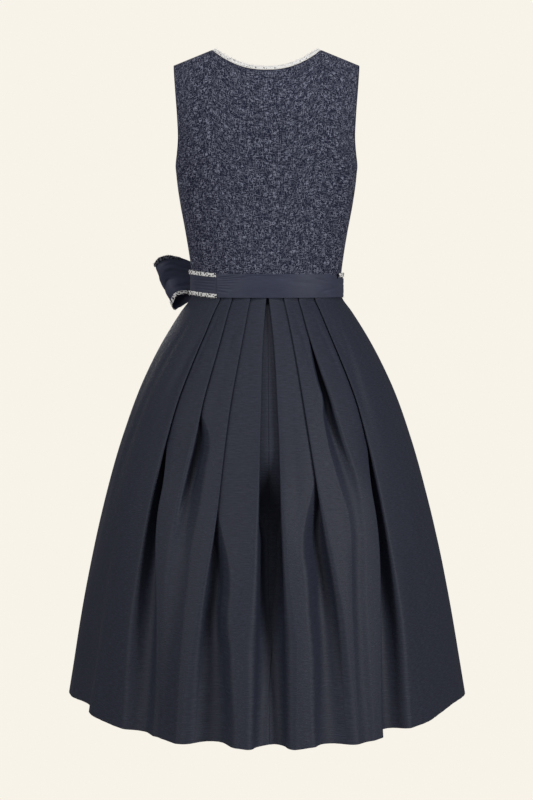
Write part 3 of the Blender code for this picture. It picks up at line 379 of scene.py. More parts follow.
def put_mesh(name, vertices, groups, finish, slot, uvs=None, tone=None, smooth_angle=50):
    """A piece from its corners and groups of faces: shaded smooth, riding on the one body, with its
    finish, and standing for the node that its slot names."""
    mesh = bpy.data.meshes.new(name)
    sizes = np.concatenate([np.full(len(g), g.shape[1]) for g in groups])
    starts = np.concatenate([[0], np.cumsum(sizes)[:-1]])
    loops = np.concatenate([g.ravel() for g in groups]).astype(np.int32)
    mesh.vertices.add(len(vertices))
    mesh.vertices.foreach_set("co", vertices.astype(np.float32).ravel())
    mesh.loops.add(len(loops))
    mesh.loops.foreach_set("vertex_index", loops)
    mesh.polygons.add(len(sizes))
    mesh.polygons.foreach_set("loop_start", starts.astype(np.int32))
    mesh.update(calc_edges=True)
    mesh.validate()
    if uvs is not None:
        layer = mesh.uv_layers.new(name="cloth_metres")
        layer.data.foreach_set("uv", np.asarray(uvs, np.float32)[loops].ravel())
    if tone is not None:
        attribute = mesh.attributes.new("tone", "FLOAT", "POINT")
        attribute.data.foreach_set("value", np.asarray(tone, np.float32))
    mesh.materials.append(FINISHES[finish])
    mesh.shade_smooth()
    mesh.set_sharp_from_angle(angle=math.radians(smooth_angle))
    piece = put_object(name, mesh)
    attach(piece, "root")
    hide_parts(slot)
    return piece


def lathe_faces(rings, sides):
    """Faces between stacked rings of points, and a fan at each end to one more point. Those two
    points come after all the rings, the one of the first ring before that of the last."""
    k = np.arange(sides)
    after = (k + 1) % sides
    base = np.arange(rings - 1)[:, None] * sides
    corners = [base + k, base + after, base + sides + after, base + sides + k]
    last, tip = (rings - 1) * sides, 0 * k + rings * sides
    caps = [np.stack([tip, after, k], 1), np.stack([last + k, last + after, tip + 1], 1)]
    return [np.stack(corners, axis=-1).reshape(-1, 4), np.concatenate(caps)]


def cloth_metres(points):
    """Places on a grid of cloth in metres: the mean run along its rows and down its columns."""
    along = np.linalg.norm(np.diff(points, axis=1), axis=-1).mean(axis=0)
    down = np.linalg.norm(np.diff(points, axis=0), axis=-1).mean(axis=1)
    runs = [np.concatenate([[0], np.cumsum(steps)]) for steps in (along, down)]
    return np.stack(np.meshgrid(*runs), axis=-1)


# How far a cloth's faces are drawn in at its rim: a share of its thickness, and at most a share of
# the first square.
RIM_DRAW, RIM_MOST = 0.32, 0.4


def shell(middle, normals, thickness):
    """A closed shell: the grid moved half the thickness to either side, both sides drawn in a
    little at the rim, and one ring of points at the rim itself, so that the cloth's edge is
    round."""
    rows, columns = middle.shape[:2]
    count = rows * columns
    drawn = middle.copy()
    for edge, beside in ((0, 1), (-1, -2)):
        for view in (drawn, drawn.transpose(1, 0, 2)):
            step = view[beside] - view[edge]
            reach = np.linalg.norm(step, axis=-1, keepdims=True)
            drawn_in = np.minimum(RIM_DRAW * thickness, RIM_MOST * reach)
            view[edge] += step / np.maximum(reach, 1e-9) * drawn_in
    outer = (drawn + normals * thickness / 2).reshape(-1, 3)
    inner = (drawn - normals * thickness / 2).reshape(-1, 3)
    index = np.arange(count).reshape(rows, columns)
    a, b = index[:-1, :-1].ravel(), index[:-1, 1:].ravel()
    c, d = index[1:, 1:].ravel(), index[1:, :-1].ravel()
    rim = np.concatenate([index[0, :-1], index[:-1, -1], index[-1, :0:-1], index[:0:-1, 0]])
    edge = 2 * count + np.arange(len(rim))
    ahead, edge_ahead = np.roll(rim, -1), np.roll(edge, -1)
    faces = np.concatenate([
        np.stack([a, b, c, d], axis=1),
        np.stack([a, d, c, b], axis=1) + count,
        np.stack([ahead, rim, edge, edge_ahead], axis=1),
        np.stack([edge_ahead, edge, rim + count, ahead + count], axis=1),
    ])
    uv = cloth_metres(middle).reshape(-1, 2)
    vertices = np.concatenate([outer, inner, middle.reshape(-1, 3)[rim]])
    return vertices, facing_out(vertices, [faces]), np.concatenate([uv, uv, uv[rim]])


def rim_distance(middle, sides):
    """How far each point of a grid lies from the named sides of its cloth."""
    along = np.linalg.norm(np.diff(middle, axis=1), axis=-1)
    down = np.linalg.norm(np.diff(middle, axis=0), axis=-1)
    zero_row, zero_column = np.zeros((1, middle.shape[1])), np.zeros((middle.shape[0], 1))
    runs = {
        "bottom": np.concatenate([zero_row, np.cumsum(down, axis=0)]),
        "top": np.concatenate([np.cumsum(down[::-1], axis=0)[::-1], zero_row]),
        "start": np.concatenate([zero_column, np.cumsum(along, axis=1)], axis=1),
        "end": np.concatenate([np.cumsum(along[:, ::-1], axis=1)[:, ::-1], zero_column], axis=1),
    }
    return np.min([runs[side] for side in sides], axis=0)


def cloth(name, slot, finish, middle, normals=None, tone=None):
    """A piece of cloth as a closed shell round its middle grid."""
    if normals is None:
        normals = outward(middle, grid_normals(middle))
    vertices, faces, uvs = shell(middle, normals, CLOTH_WALL[finish])
    if tone is not None:
        tone = tone.ravel()
        tone = np.concatenate([tone, tone, np.ones(len(vertices) - 2 * len(tone))])
    piece = put_mesh(name, vertices, faces, finish, slot, uvs, tone)


# The braids sewn to each cloth, by its slot.
TRIMS = {}


# Materials


def node(tree, kind, inputs=None, **settings):
    """Adds a node with its settings, and gives its inputs values or other nodes' outputs."""
    made = tree.nodes.new(kind)
    for key, value in settings.items():
        setattr(made, key, value)
    for key, value in (inputs or {}).items():
        if isinstance(value, bpy.types.NodeSocket):
            tree.links.new(value, made.inputs[key])
        else:
            made.inputs[key].default_value = value
    return made


def finish_of(name, **sockets):
    """A Principled material and its tree; sockets set what is the same all over."""
    made = bpy.data.materials.new(name)
    made.use_nodes = True
    shader = made.node_tree.nodes["Principled BSDF"]
    for key, value in sockets.items():
        shader.inputs[key.replace("_", " ")].default_value = value
    return made, made.node_tree


def finished(made, colour, height=None, distance=0.0, strength=1.0):
    """The material with its colour and, where a height is given, its fine relief."""
    tree = made.node_tree
    shader = tree.nodes["Principled BSDF"]
    tree.links.new(colour, shader.inputs["Base Color"])
    if height is not None:
        settings = {"Height": height, "Distance": distance, "Strength": strength}
        bump = node(tree, "ShaderNodeBump", settings)
        tree.links.new(bump.outputs[0], shader.inputs["Normal"])
    return made


def ramp(tree, value, low, high, start=0.0, end=1.0):
    """The start value below low, the end value above high, and even between."""
    span = {"From Min": low, "From Max": high, "To Min": start, "To Max": end}
    return node(tree, "ShaderNodeMapRange", {"Value": value, **span}).outputs[0]


def speckle(tree, u_mm, v_mm, low, high, detail=1.0, shift=0.0):
    """Noise on the cloth's own metres, with lumps of u_mm along the weft by v_mm along the warp: 0
    below low, 1 above high, and even between."""
    place = node(tree, "ShaderNodeUVMap", uv_map="cloth_metres").outputs[0]
    size = (1000 / u_mm, 1000 / v_mm, 1)
    place = node(tree, "ShaderNodeMapping", {"Vector": place, "Scale": size}).outputs[0]
    if shift:
        moved = {0: place, 1: (shift, shift, 0)}
        place = node(tree, "ShaderNodeVectorMath", moved, operation="ADD").outputs[0]
    kind = {"Vector": place, "Scale": 1.0, "Detail": detail, "Roughness": 0.55}
    noise = node(tree, "ShaderNodeTexNoise", kind, noise_dimensions="2D")
    return ramp(tree, noise.outputs[0], low, high)


def maths(tree, operation, *values):
    """The outcome of one operation on values or other nodes' outputs."""
    return node(tree, "ShaderNodeMath", dict(enumerate(values)), operation=operation).outputs[0]


def times(tree, value, factor):
    """The value times the factor."""
    return maths(tree, "MULTIPLY", value, factor)


def blended(tree, share, *colours):
    """The first colour where the share is 0, and the second where it is 1."""
    a, b = (linear(colour) if isinstance(colour, str) else colour for colour in colours)
    return node(tree, "ShaderNodeMix", {0: share, 6: a, 7: b}, data_type="RGBA").outputs[2]


def own_tone(tree):
    """The tone that each point of a piece carries."""
    return node(tree, "ShaderNodeAttribute", attribute_name="tone").outputs["Fac"]


def wool_melange():
    """Wool-blend melange: dark navy yarns with pale slubs along warp and weft, which gives a matt
    tweed full of short light and dark flecks. The threads, about 0.4 mm, are drawn 1.6 mm wide, so
    that they show. The tone darkens the edges at the neck, shoulders and armholes: painted shade
    where the edge turns away, together with the facing that shows there."""
    made, tree = finish_of("wool_blend_melange", Roughness=0.92, Specular_IOR_Level=0.2)
    weft = speckle(tree, 6.5, 1.4, 0.62, 0.76, 0.0)
    warp = speckle(tree, 1.4, 6.5, 0.62, 0.76, 0.0, 31.7)
    knots = speckle(tree, 1.5, 1.5, 0.64, 0.76, 0.0, 21.3)
    slubs = maths(tree, "MAXIMUM", maths(tree, "MAXIMUM", weft, warp), knots)
    patches = speckle(tree, 12.0, 13.0, 0.36, 0.62, 2.0, 7.1)
    pale = times(tree, slubs, maths(tree, "MULTIPLY_ADD", patches, 0.52, 0.36))
    dark = speckle(tree, 4.0, 2.0, 0.50, 0.66, 1.0, 12.9)
    ground = blended(tree, dark, "#22253a", "#1a1c2d")
    colour = blended(tree, own_tone(tree), blended(tree, pale, ground, "#9396aa"), "#1c1d2a")
    height = maths(tree, "ADD", pale, times(tree, dark, -0.5))
    return finished(made, colour, height, 0.35 * MM, 0.8)


def slub_taffeta(name, ground, slub, shade, roughness, slub_mm, relief):
    """Polyester slub taffeta: fine plain weave with thicker weft threads here and there, which
    gives thin level streaks, a little lighter or darker than the ground, on a half-matt cloth."""
    made, tree = finish_of(name, Roughness=roughness, Specular_IOR_Level=0.35)
    streak = speckle(tree, slub_mm, 1.5, 0.45, 0.75, 2.0)
    fine = speckle(tree, 3.2, 1.6, 0.30, 0.70, 1.0, 17.3)
    dark = speckle(tree, slub_mm * 0.7, 1.7, 0.52, 0.80, 1.0, 5.7)
    colour = blended(tree, times(tree, streak, 0.8), ground, slub)
    colour = blended(tree, times(tree, dark, 0.6), colour, shade)
    colour = blended(tree, times(tree, fine, 0.25), colour, slub)
    height = maths(tree, "ADD", times(tree, fine, 0.5), streak)
    return finished(made, colour, height, relief, 0.7)


def satin_ribbon():
    """Taffeta ribbon with a satin face: close smooth threads, which give a soft sheen along the
    folds."""
    made, tree = finish_of(
        "satin_ribbon", Roughness=0.58, Specular_IOR_Level=0.3, Sheen_Weight=0.08,
        Sheen_Roughness=0.5,
    )
    thread = speckle(tree, 14.0, 0.9, 0.35, 0.65, 1.0)
    cloud = speckle(tree, 30.0, 9.0, 0.3, 0.7, 1.0, 3.3)
    colour = blended(tree, times(tree, thread, 0.5), "#3a3e52", "#44485f")
    colour = blended(tree, times(tree, cloud, 0.35), colour, "#33364a")
    return finished(made, colour, thread, 0.08 * MM, 0.5)


def frayed_braid():
    """Cotton boucle braid: loose white loops between navy ones, which give a bright broken edge.
    The tone says how much of it is white, and how clean the white is; on the side loop's upper
    braid a low tone paints shade. The lumps of the two yarns are about 3 mm across."""
    made, tree = finish_of("cotton_boucle_braid", Roughness=0.95, Specular_IOR_Level=0.15)
    tone = own_tone(tree)
    lumps = speckle(tree, 3.6, 3.0, 0.0, 1.0, 0.0)
    white = maths(tree, "ADD", lumps, maths(tree, "MULTIPLY_ADD", tone, 0.5, -0.25))
    pale = blended(tree, ramp(tree, tone, 0.45, 0.6), "#666871", "#fdfcfa")
    colour = blended(tree, ramp(tree, white, 0.47, 0.52), "#242630", pale)
    return finished(made, colour, lumps, 0.8 * MM, 0.6)


def horn_button():
    """Polished horn: dark, with faint brown veins and a clear gloss."""
    made, tree = finish_of("polished_horn", Roughness=0.28, Specular_IOR_Level=0.5)
    place = node(tree, "ShaderNodeTexCoord").outputs["Object"]
    veins = node(tree, "ShaderNodeTexNoise", {"Vector": place, "Scale": 420.0, "Detail": 3.0})
    return finished(made, blended(tree, veins.outputs[0], "#17181f", "#2e2d33"))


SKIRT_COLOURS, APRON_COLOURS = ("#282b3a", "#363a4b", "#1a1c29"), ("#34374a", "#3d4156", "#2a2d3e")
FINISHES = {
    "wool": wool_melange(),
    "skirt": slub_taffeta("polyester_slub_taffeta", *SKIRT_COLOURS, 0.60, 11.0, 0.30 * MM),
    "apron": slub_taffeta("plain_taffeta", *APRON_COLOURS, 0.50, 16.0, 0.12 * MM),
    "satin": satin_ribbon(),
    "braid": frayed_braid(),
    "horn": horn_button(),
}


# Bodice


def shoulder_height(x):
    """Height of the shoulder line over x. It runs on at the same slope inside the neck."""
    slope = (SHOULDER_TIP_Z - NECK_POINT_Z) / (SHOULDER_HALF - NECK_HALF)
    return NECK_POINT_Z + (np.abs(x) - NECK_HALF) * slope


def top_height(x, side):
    """Height of the bodice's upper edge over x: the neckline inside the neck point, the
    shoulder seam outside."""
    low, power = (BACK_NECK_Z, BACK_NECK_POWER) if side > 0 else (FRONT_NECK_Z, FRONT_NECK_POWER)
    inside = low + (NECK_POINT_Z - low) * np.clip(np.abs(x) / NECK_HALF, 0, 1) ** power
    return np.where(np.abs(x) < NECK_HALF, inside, shoulder_height(x))


def bodice_value(name, z):
    """One named size of the bodice's cross-section at a height."""
    return from_table(BODICE_SECTIONS, BODICE_COLUMNS, name, z)


def torso_angle(u, z, side):
    """Angle from the centre line. The outer half of the columns draws in to the armhole above the
    underarm point, and the inner half runs straight up."""
    edge = from_table(ARMHOLE, ARMHOLE_COLUMNS, "back_half" if side > 0 else "front_half", z)
    share = np.where(z < UNDERARM_Z, 1.0, np.clip(edge / bodice_value("half_width", z), 0, 1))
    limit = np.arcsin(share ** (bodice_value("power", z) / 2))
    quarter = math.pi / 4
    outer = quarter + (limit - quarter) * (np.abs(u) - 0.5) * 2
    return np.sign(u) * np.where(np.abs(u) < 0.5, np.abs(u) * 2 * quarter, outer)


def torso_point(angle, z, side):
    """The bodice surface: an oval at each height, drawn in to the shoulder line, with a cup in
    front."""
    power = bodice_value("power", z)
    sine, cosine = np.sin(angle), np.clip(np.cos(angle), 0, 1)
    x = bodice_value("half_width", z) * np.sign(sine) * np.abs(sine) ** (2 / power)
    below = np.clip((shoulder_height(x) - z) / SHOULDER_ROUND, 0, 1)
    depth = bodice_value("back_depth" if side > 0 else "front_depth", z)
    y = depth * cosine ** (2 / power) * np.sqrt(1 - (1 - below) ** 2)
    if side < 0:
        across = (np.abs(x) - CUP_CENTRE_X) / CUP_SPREAD_X
        upright = (z - CUP_CENTRE_Z) / CUP_SPREAD_Z
        y = y + CUP_FULLNESS * np.exp(-(across ** 2 + upright ** 2) / 2) * cosine ** 0.5
    return np.stack([x, side * (y + BUTT_GAP / 2), z + 0 * x], axis=-1)


def torso_normal(angle, z, side):
    """Unit normal of that surface, pointing out, from its steps back along the angle and the
    height."""
    here = torso_point(angle, z, side)
    around = here - torso_point(angle - 0.02, z, side)
    up = here - torso_point(angle, z - MM, side)
    return unit(np.cross(up, around)) * side


def bodice_grid(side, across, up):
    """Grid of a bodice panel: across runs from -1 or 0 to 1 at the side edge, up from 0 at the
    waist to 1. Each column's top moves half way to the upper edge, again and again."""
    u, v = np.meshgrid(across, up)
    top = np.full_like(u, 0.0)
    for _ in range(TOP_ROUNDS):
        x = torso_point(torso_angle(u, top, side), top, side)[..., 0]
        top = 0.5 * top + 0.5 * top_height(x, side)
    bottom = WAIST_SEAM_Z + BUTT_GAP / 2
    z = bottom + (top - bottom) * v
    angle = torso_angle(u, z, side)
    points = torso_point(angle, z, side)
    normals = torso_normal(np.abs(angle), z, side)
    normals[..., 0] *= np.where(u < 0, -1, 1)
    at_side = (np.abs(np.abs(u) - 1) < 1e-6) & (z <= UNDERARM_Z + 1e-6)
    at_shoulder = (np.abs(v - 1) < 1e-6) & (np.abs(points[..., 0]) >= NECK_HALF - 1e-4)
    at_front = (np.abs(u) < 1e-6) & (side < 0)
    normals[at_side | at_shoulder, 1] = 0
    normals[at_front, 0] = 0
    return points, unit(normals)


def neck_share(side):
    """Share of the panel's width at which its upper edge reaches the neck point."""
    shares = np.linspace(0.3, 0.9, 241)
    x = bodice_grid(side, shares, np.array([0.0, 1.0]))[0][-1, :, 0]
    return float(np.interp(NECK_HALF, x, shares))


# Drag lines of the back, in millimetres across from the centre and up from the waist seam.
BACK_DRAGS = (
    (-118, 20, -70, 120, 16, 0.9), (120, 25, 78, 130, 15, 0.8), (-60, 10, -46, 150, 11, 0.5),
    (57, 8, 50, 140, 12, 0.55), (-140, 190, -80, 235, 14, 0.6), (142, 185, 84, 225, 15, 0.6),
)
# The darts and drag lines of a front, from the centre front and up from the waist seam.
FRONT_DRAGS = (
    (60, 0, 72, 138, 1.6, 0.8), (64, 2, 75, 130, 7, 0.7), (120, 40, 95, 120, 12, 0.6),
    (30, 20, 20, 150, 9, 0.3),
)
BODICE_WAVES = ((1 / 87, 1 / 140, 0.4, 0.35), (-1 / 61, 1 / 173, 2.0, 0.3))
BODICE_PANELS = {
    1: (("bodice_back", 1.0),), -1: (("bodice_front_left", 1.0), ("bodice_front_right", -1.0)),
}


def make_bodice():
    """Back and two fronts, on the solids' form with drag lines that fade at the rim. It returns the
    cloth edge round the neck with its normals, from the centre front over the wearer's left."""
    underarm = (UNDERARM_Z - WAIST_SEAM_Z) / (SHOULDER_TIP_Z - WAIST_SEAM_Z)
    up = in_two(0, underarm, 1, LOWER_ROWS, UPPER_ROWS)
    edges = {}
    for side, drags in ((1, BACK_DRAGS), (-1, FRONT_DRAGS)):
        half = in_two(0, neck_share(side), 1, NECK_COLUMNS, NECK_COLUMNS)
        across = np.concatenate([-half[:0:-1], half]) if side > 0 else half
        points, normals = bodice_grid(side, across, up)
        across_mm = np.arctan2(points[..., 0], side * points[..., 1]) * MEAN_RADIUS / MM
        up_mm = (points[..., 2] - WAIST_SEAM_Z) / MM
        relief = creases(drags, across_mm, up_mm) * smooth((up_mm - 4) / 25)
        relief = relief + ripple(across_mm, up_mm, BODICE_WAVES)
        from_rim = rim_distance(points, ("start", "end", "top", "bottom"))
        points = points - normals * (relief * smooth(from_rim / (25 * MM)))[..., None]
        # Its edges are darker at the neck, the shoulders and the armholes: painted shade where the
        # cloth turns away, together with the facing that shows there.
        from_shaded_edge = np.where(
            points[..., 2] > UNDERARM_Z - MM,
            rim_distance(points, ("start", "end", "top")), rim_distance(points, ("top",)),
        )
        tone = EDGE_FACING_AND_SHADE_TONE * (1 - smooth((from_shaded_edge - EDGE_FACING_AND_SHADE_WIDTH) / EDGE_FACING_AND_SHADE_FADE))
        if side < 0:
            points[..., 0] += BUTT_GAP / 2
        centre = len(across) - len(half)
        neck = slice(max(centre + 1 - NECK_COLUMNS, 0), centre + NECK_COLUMNS)
        edges[side] = points[-1, neck], normals[-1, neck]
        for slot, flip in BODICE_PANELS[side]:
            turn = np.array([flip, 1.0, 1.0])
            cloth(slot + "_wool", slot, "wool", points * turn, normals * turn, tone)
    mirror = np.array([-1.0, 1.0, 1.0])
    pairs = zip(edges[-1], edges[1])
    return [np.concatenate([left, back[::-1], left[::-1] * mirror]) for left, back in pairs]


# Braids


def spread_on(points, s, w):
    """Places at shares s along a grid's columns and w up its rows, evenly between its points."""
    rows, columns = points.shape[:2]
    i = np.clip((w * (rows - 1)).astype(int), 0, rows - 2)
    j = np.clip((s * (columns - 1)).astype(int), 0, columns - 2)
    a, b = (w * (rows - 1) - i)[:, None], (s * (columns - 1) - j)[:, None]
    low = points[i, j] * (1 - b) + points[i, j + 1] * b
    high = points[i + 1, j] * (1 - b) + points[i + 1, j + 1] * b
    return low * (1 - a) + high * a


def fibres(roots, headings, lengths, curls, radius):
    """Closed tapered hairs of three sides: each starts at its root, runs along its heading and
    bends by its curl times the square of the way along it."""
    count = len(roots)
    share = np.array([0.0, 0.45, 1.0])[None, :, None]
    reach = lengths[:, None, None]
    line = roots[:, None] + headings[:, None] * share * reach + curls[:, None] * share ** 2 * reach
    first = unit(np.cross(headings, [0.31, 0.59, 0.74]))
    second = unit(np.cross(headings, first))
    angles = np.arange(3) * 2 * math.pi / 3
    around = first[:, None] * np.cos(angles)[:, None] + second[:, None] * np.sin(angles)[:, None]
    width = radius * np.array([1.0, 0.85, 0.35])
    rings = line[:, :, None] + around[:, None] * width[None, :, None, None]
    vertices = rings.reshape(-1, 3)
    base = np.arange(count)[:, None] * 9
    quads = []
    for level in (0, 3):
        for k in range(3):
            after = (k + 1) % 3
            quads.append(base + level + np.array([[k, after, 3 + after, 3 + k]]))
    ends = np.concatenate([base + np.array([[2, 1, 0]]), base + np.array([[6, 7, 8]])])
    return vertices, np.concatenate(quads), ends


def braid(slot, carrier, seed, foot, head, normals, per_metre, fringe, tone):
    """A frayed braid from its foot line to its head line: a strip in the relief of two plaited
    strands, and hairs that stand mostly past its head, out of it and along it."""
    draw = np.random.default_rng(seed)
    w = np.linspace(0, 1, BRAID_ROWS)[:, None, None]
    middle = foot[None] + (head - foot)[None] * w
    line = (foot + head) / 2
    run = np.concatenate([[0], np.cumsum(np.linalg.norm(np.diff(line, axis=0), axis=1))])
    strand = np.cos(2 * math.pi * (run / STRAND_PITCH + 0.8 * np.abs(w[..., 0] - 0.5)))
    relief = STRAND_RELIEF * strand * np.sin(math.pi * np.clip(w[..., 0], 0.05, 0.95))
    out = np.broadcast_to(normals, middle.shape)
    middle = middle + out * relief[..., None]
    vertices, faces, uvs = shell(middle, out, CLOTH_WALL["braid"])
    count = int(run[-1] * per_metre)
    s, level = draw.random(count), draw.random(count) ** 0.7
    roots = spread_on(middle, s, level)
    ways = normals, unit(np.gradient(line, axis=0)), unit(head - foot)
    normal, along, up = [unit(spread_on(np.stack([v, v]), s, 0 * s)) for v in ways]
    stray = draw.normal(0, 1, (3, count, 1))
    side = np.where(draw.random(count) < INWARD_HAIRS, -1.0, 1.0)[:, None]
    rise = 0.25 + 0.6 * level[:, None] + 0.3 * stray[2]
    away = normal * (0.55 * np.abs(stray[0]) + 0.15) * side
    headings = away + along * 0.75 * stray[1] + up * rise
    lengths = fringe * (0.35 + 0.65 * draw.random(count)) * (0.55 + 0.45 * level)
    curls = HAIR_CURL * draw.normal(0, 1, (count, 3))
    hair, quads, ends = fibres(roots, unit(headings), lengths, curls, HAIR_RADIUS)
    base = len(vertices)
    places = np.repeat(spread_on(cloth_metres(middle), s, level), len(hair) // count, axis=0)
    TRIMS.setdefault(carrier, []).append(slot + "_frayed")
    put_mesh(
        slot + "_frayed", np.concatenate([vertices, hair]), [*faces, quads + base, ends + base],
        "braid", slot, np.concatenate([uvs, places]), np.full(base + len(hair), tone), 180,
    )


def edge_braid(carrier, edge, seed, strip, out, per_metre, tone):
    """A braid on an edge of a loop or tail, from the strip of two lines that it covers."""
    foot, head = strip + out * BRAID_STAND
    slot = "%s_braid_%s" % (carrier, edge)
    braid(slot, carrier, seed, foot, head, out[0], per_metre, RIBBON_FRINGE, tone)


def make_neck_braid(path, normals):
    """One braid on the neck edge, all the way round. Points nearer than 0.8 mm are passed over."""
    keep = np.concatenate([[True], np.linalg.norm(np.diff(path, axis=0), axis=1) > 0.8 * MM])
    path, normals = path[keep], normals[keep]
    off = unit(np.cross(normals, unit(np.gradient(path, axis=0))))
    off = off if off[len(off) // 2][2] > 0 else -off
    off[[0, -1], 0] = 0
    foot = path + off * 2 * SEAM_GAP
    head = foot + off * NECK_BRAID_HEIGHT
    braid("neck_braid", "bodice_back", 11, foot, head, normals, NECK_HAIRS, NECK_FRINGE, NECK_TONE)


# Buttons


BUTTON_PROFILE = (
    (0, 0.0), (0.55, 0.0), (0.80, 0.04), (0.94, 0.18), (1.0, 0.40), (0.97, 0.62), (0.88, 0.84),
    (0.76, 0.97), (0.66, 1.0), (0.57, 0.96), (0.50, 0.82), (0.42, 0.72), (0.25, 0.68), (0.0, 0.67),
)
BUTTON_SIDES = 48


def make_buttons():
    """Turned buttons on the left front, from shares of their radius and height out of the cloth."""
    profile = [(r * BUTTON_RADIUS, h * BUTTON_HEIGHT) for r, h in BUTTON_PROFILE]
    inner = np.array(profile[1:-1])
    angles = np.arange(BUTTON_SIDES) * 2 * math.pi / BUTTON_SIDES
    for number, height in enumerate(BUTTON_HEIGHTS, 1):
        z = np.array(height)
        angle = (BUTTON_X / bodice_value("half_width", z)) ** (bodice_value("power", z) / 2)
        angle = np.arcsin(angle)
        axis = unit(torso_normal(angle, z, -1))
        centre = torso_point(angle, z, -1) + axis * BUTTON_STAND
        first = unit(np.cross(axis, [0.0, 0.0, 1.0]))
        ring = np.outer(np.cos(angles), first) + np.outer(np.sin(angles), np.cross(axis, first))
        rings = centre + ring[None] * inner[:, 0, None, None] + axis * inner[:, 1, None, None]
        ends = np.array([centre + axis * profile[k][1] for k in (0, -1)])
        vertices = np.concatenate([rings.reshape(-1, 3), ends])
        faces = facing_out(vertices, lathe_faces(len(inner), BUTTON_SIDES))
        put_mesh("horn_button_%d" % number, vertices, faces, "horn", "button_%d" % number)


# Skirt


def skirt_size(drop):
    """Half width, half depth and roundness of the skirt at a drop below the waist seam."""
    half_width = from_table(SKIRT_SECTIONS, SKIRT_COLUMNS, "half_width", drop)
    power = from_table(SKIRT_SECTIONS, SKIRT_COLUMNS, "power", drop)
    waist, hem = SKIRT_SECTIONS[0][1], SKIRT_SECTIONS[-1][1]
    share = (half_width - waist) / (hem - waist)
    return half_width, WAIST_HALF_DEPTH + (HEM_HALF_DEPTH - WAIST_HALF_DEPTH) * share, power


def skirt_ring(drop):
    """The plain ring of one quarter, from a little before it to a little past it: arc length,
    azimuth, place, tangent and outward normal."""
    half_width, half_depth, power = skirt_size(drop)
    angle = np.radians(np.linspace(-20, 96, 465))
    x = half_width * np.sign(np.sin(angle)) * np.abs(np.sin(angle)) ** (2 / power)
    y = half_depth * np.sign(np.cos(angle)) * np.abs(np.cos(angle)) ** (2 / power)
    place = np.stack([x, y], axis=1)
    arc = np.concatenate([[0], np.cumsum(np.linalg.norm(np.diff(place, axis=0), axis=1))])
    azimuth = np.degrees(np.arctan2(x, y))
    arc = arc - np.interp(0, azimuth, arc)
    tangent = unit(np.gradient(place, arc, axis=0))
    return arc, azimuth, place, tangent, np.stack([-tangent[:, 1], tangent[:, 0]], axis=1)


def fold_rise(swing, lap, radii):
    """How far out a fold climbs: two turns and the straight layer between them."""
    return radii * (1 - math.cos(swing)) + lap * math.sin(swing)


def bend(start, heading, turn_to, radius, points):
    """An arc from a place and heading to a new heading, as points with their headings."""
    angles = np.linspace(heading, turn_to, points)
    sign = 1.0 if turn_to > heading else -1.0
    s = start[0] + sign * radius * (np.sin(angles) - math.sin(heading))
    out = start[1] + sign * radius * (math.cos(heading) - np.cos(angles))
    return np.stack([s, out, angles], axis=1)


def straight(start, end, points):
    """Points inside the straight layer between two turns."""
    t = np.linspace(0, 1, points + 2)[1:-1, None]
    return start + (end - start) * t


def pleat_shape(row, drop):
    """One fold as (along, out, heading): inner edge, inner wall, groove, return layer, outer edge.
    Its turns are loosened as far as the rise that its table gives allows, and the straight layer
    between them takes up what is left of that rise."""
    pleat = dict(zip(PLEAT_COLUMNS, row))
    opening = smooth((drop - pleat["opens"]) / (pleat["deepest"] - pleat["opens"]))
    settling = smooth((drop - pleat["deepest"]) / (pleat["settles"] - pleat["deepest"]))

    def staged(flat, deep, hem):
        """From flat to deep as the fold opens, and on to the hem's value as it settles."""
        return flat + (deep - flat) * opening + (hem - deep) * settling

    flat_swing = FLAT_SWINGS[pleat["takes_wall"]]
    swing = math.radians(staged(flat_swing, pleat["deep_swing"], pleat["hem_swing"]))
    turned_in = "crisp_inner" if pleat["deep_wall"] > CRISP_WALL else "inner"
    edge, groove, inner = (staged(*FOLD_RADII[k]) for k in ("edge", "groove", turned_in))
    lap = (pleat["flat_lap"] + (pleat["deep_lap"] - pleat["flat_lap"]) * opening) * MM
    wanted = fold_rise(swing, lap, edge + groove)
    if settling > 0:
        deep_rise, hem_rise = (
            fold_rise(math.radians(pleat[at + "_swing"]), pleat[at + "_lap"] * MM,
                      FOLD_RADII["edge"][k] + FOLD_RADII["groove"][k])
            for k, at in ((1, "deep"), (2, "hem"))
        )
        wanted = deep_rise + (hem_rise - deep_rise) * settling
    turns = fold_rise(swing, 0.0, edge + groove)
    loosened = 1.0 + TURN_SLACK[turned_in] * (opening + settling)
    slack = min(max(1.0, min(loosened, TURN_SHARE * wanted / turns)), wanted / turns)
    edge, groove = edge * slack, groove * slack
    lap = (wanted - turns * slack) / math.sin(swing)
    rise = fold_rise(swing, lap, edge + groove)
    share = max(math.sqrt(opening), LEAST_OPEN)
    wall = pleat["deep_wall"]
    wall += (min(wall, pleat["hem_swing"]) - wall) * settling
    inward = math.radians(wall) * share * pleat["takes_wall"]
    pieces, start = [], np.array([0.0, 0.0])
    if pleat["takes_wall"]:
        spare = share * rise - (inner + groove) * (1 - math.cos(inward))
        inner_wall = max(spare / math.sin(inward) * min(1.0, 4 * share), SEAM_GAP)
        first = bend((0.0, 0.0), 0.0, -inward, inner, ARC_POINTS - 1)
        start = first[-1, :2] + inner_wall * np.array([math.cos(inward), -math.sin(inward)])
        pieces += [first, straight(first[-1], np.array([*start, -inward]), LAP_POINTS)]
    second = bend(start, -inward, swing, groove, ARC_POINTS)
    start = second[-1, :2] + lap * np.array([math.cos(swing), math.sin(swing)])
    third = bend(start, swing, 0.0, edge, ARC_POINTS)
    shape = np.concatenate(pieces + [second, straight(second[-1], third[0], LAP_POINTS), third])
    overhang = edge * (1 - math.sin(swing)) if swing > math.pi / 2 else 0.0
    shape[:, 0] -= third[0, 0] - overhang
    shape[:, 1] -= third[-1, 1]
    return shape


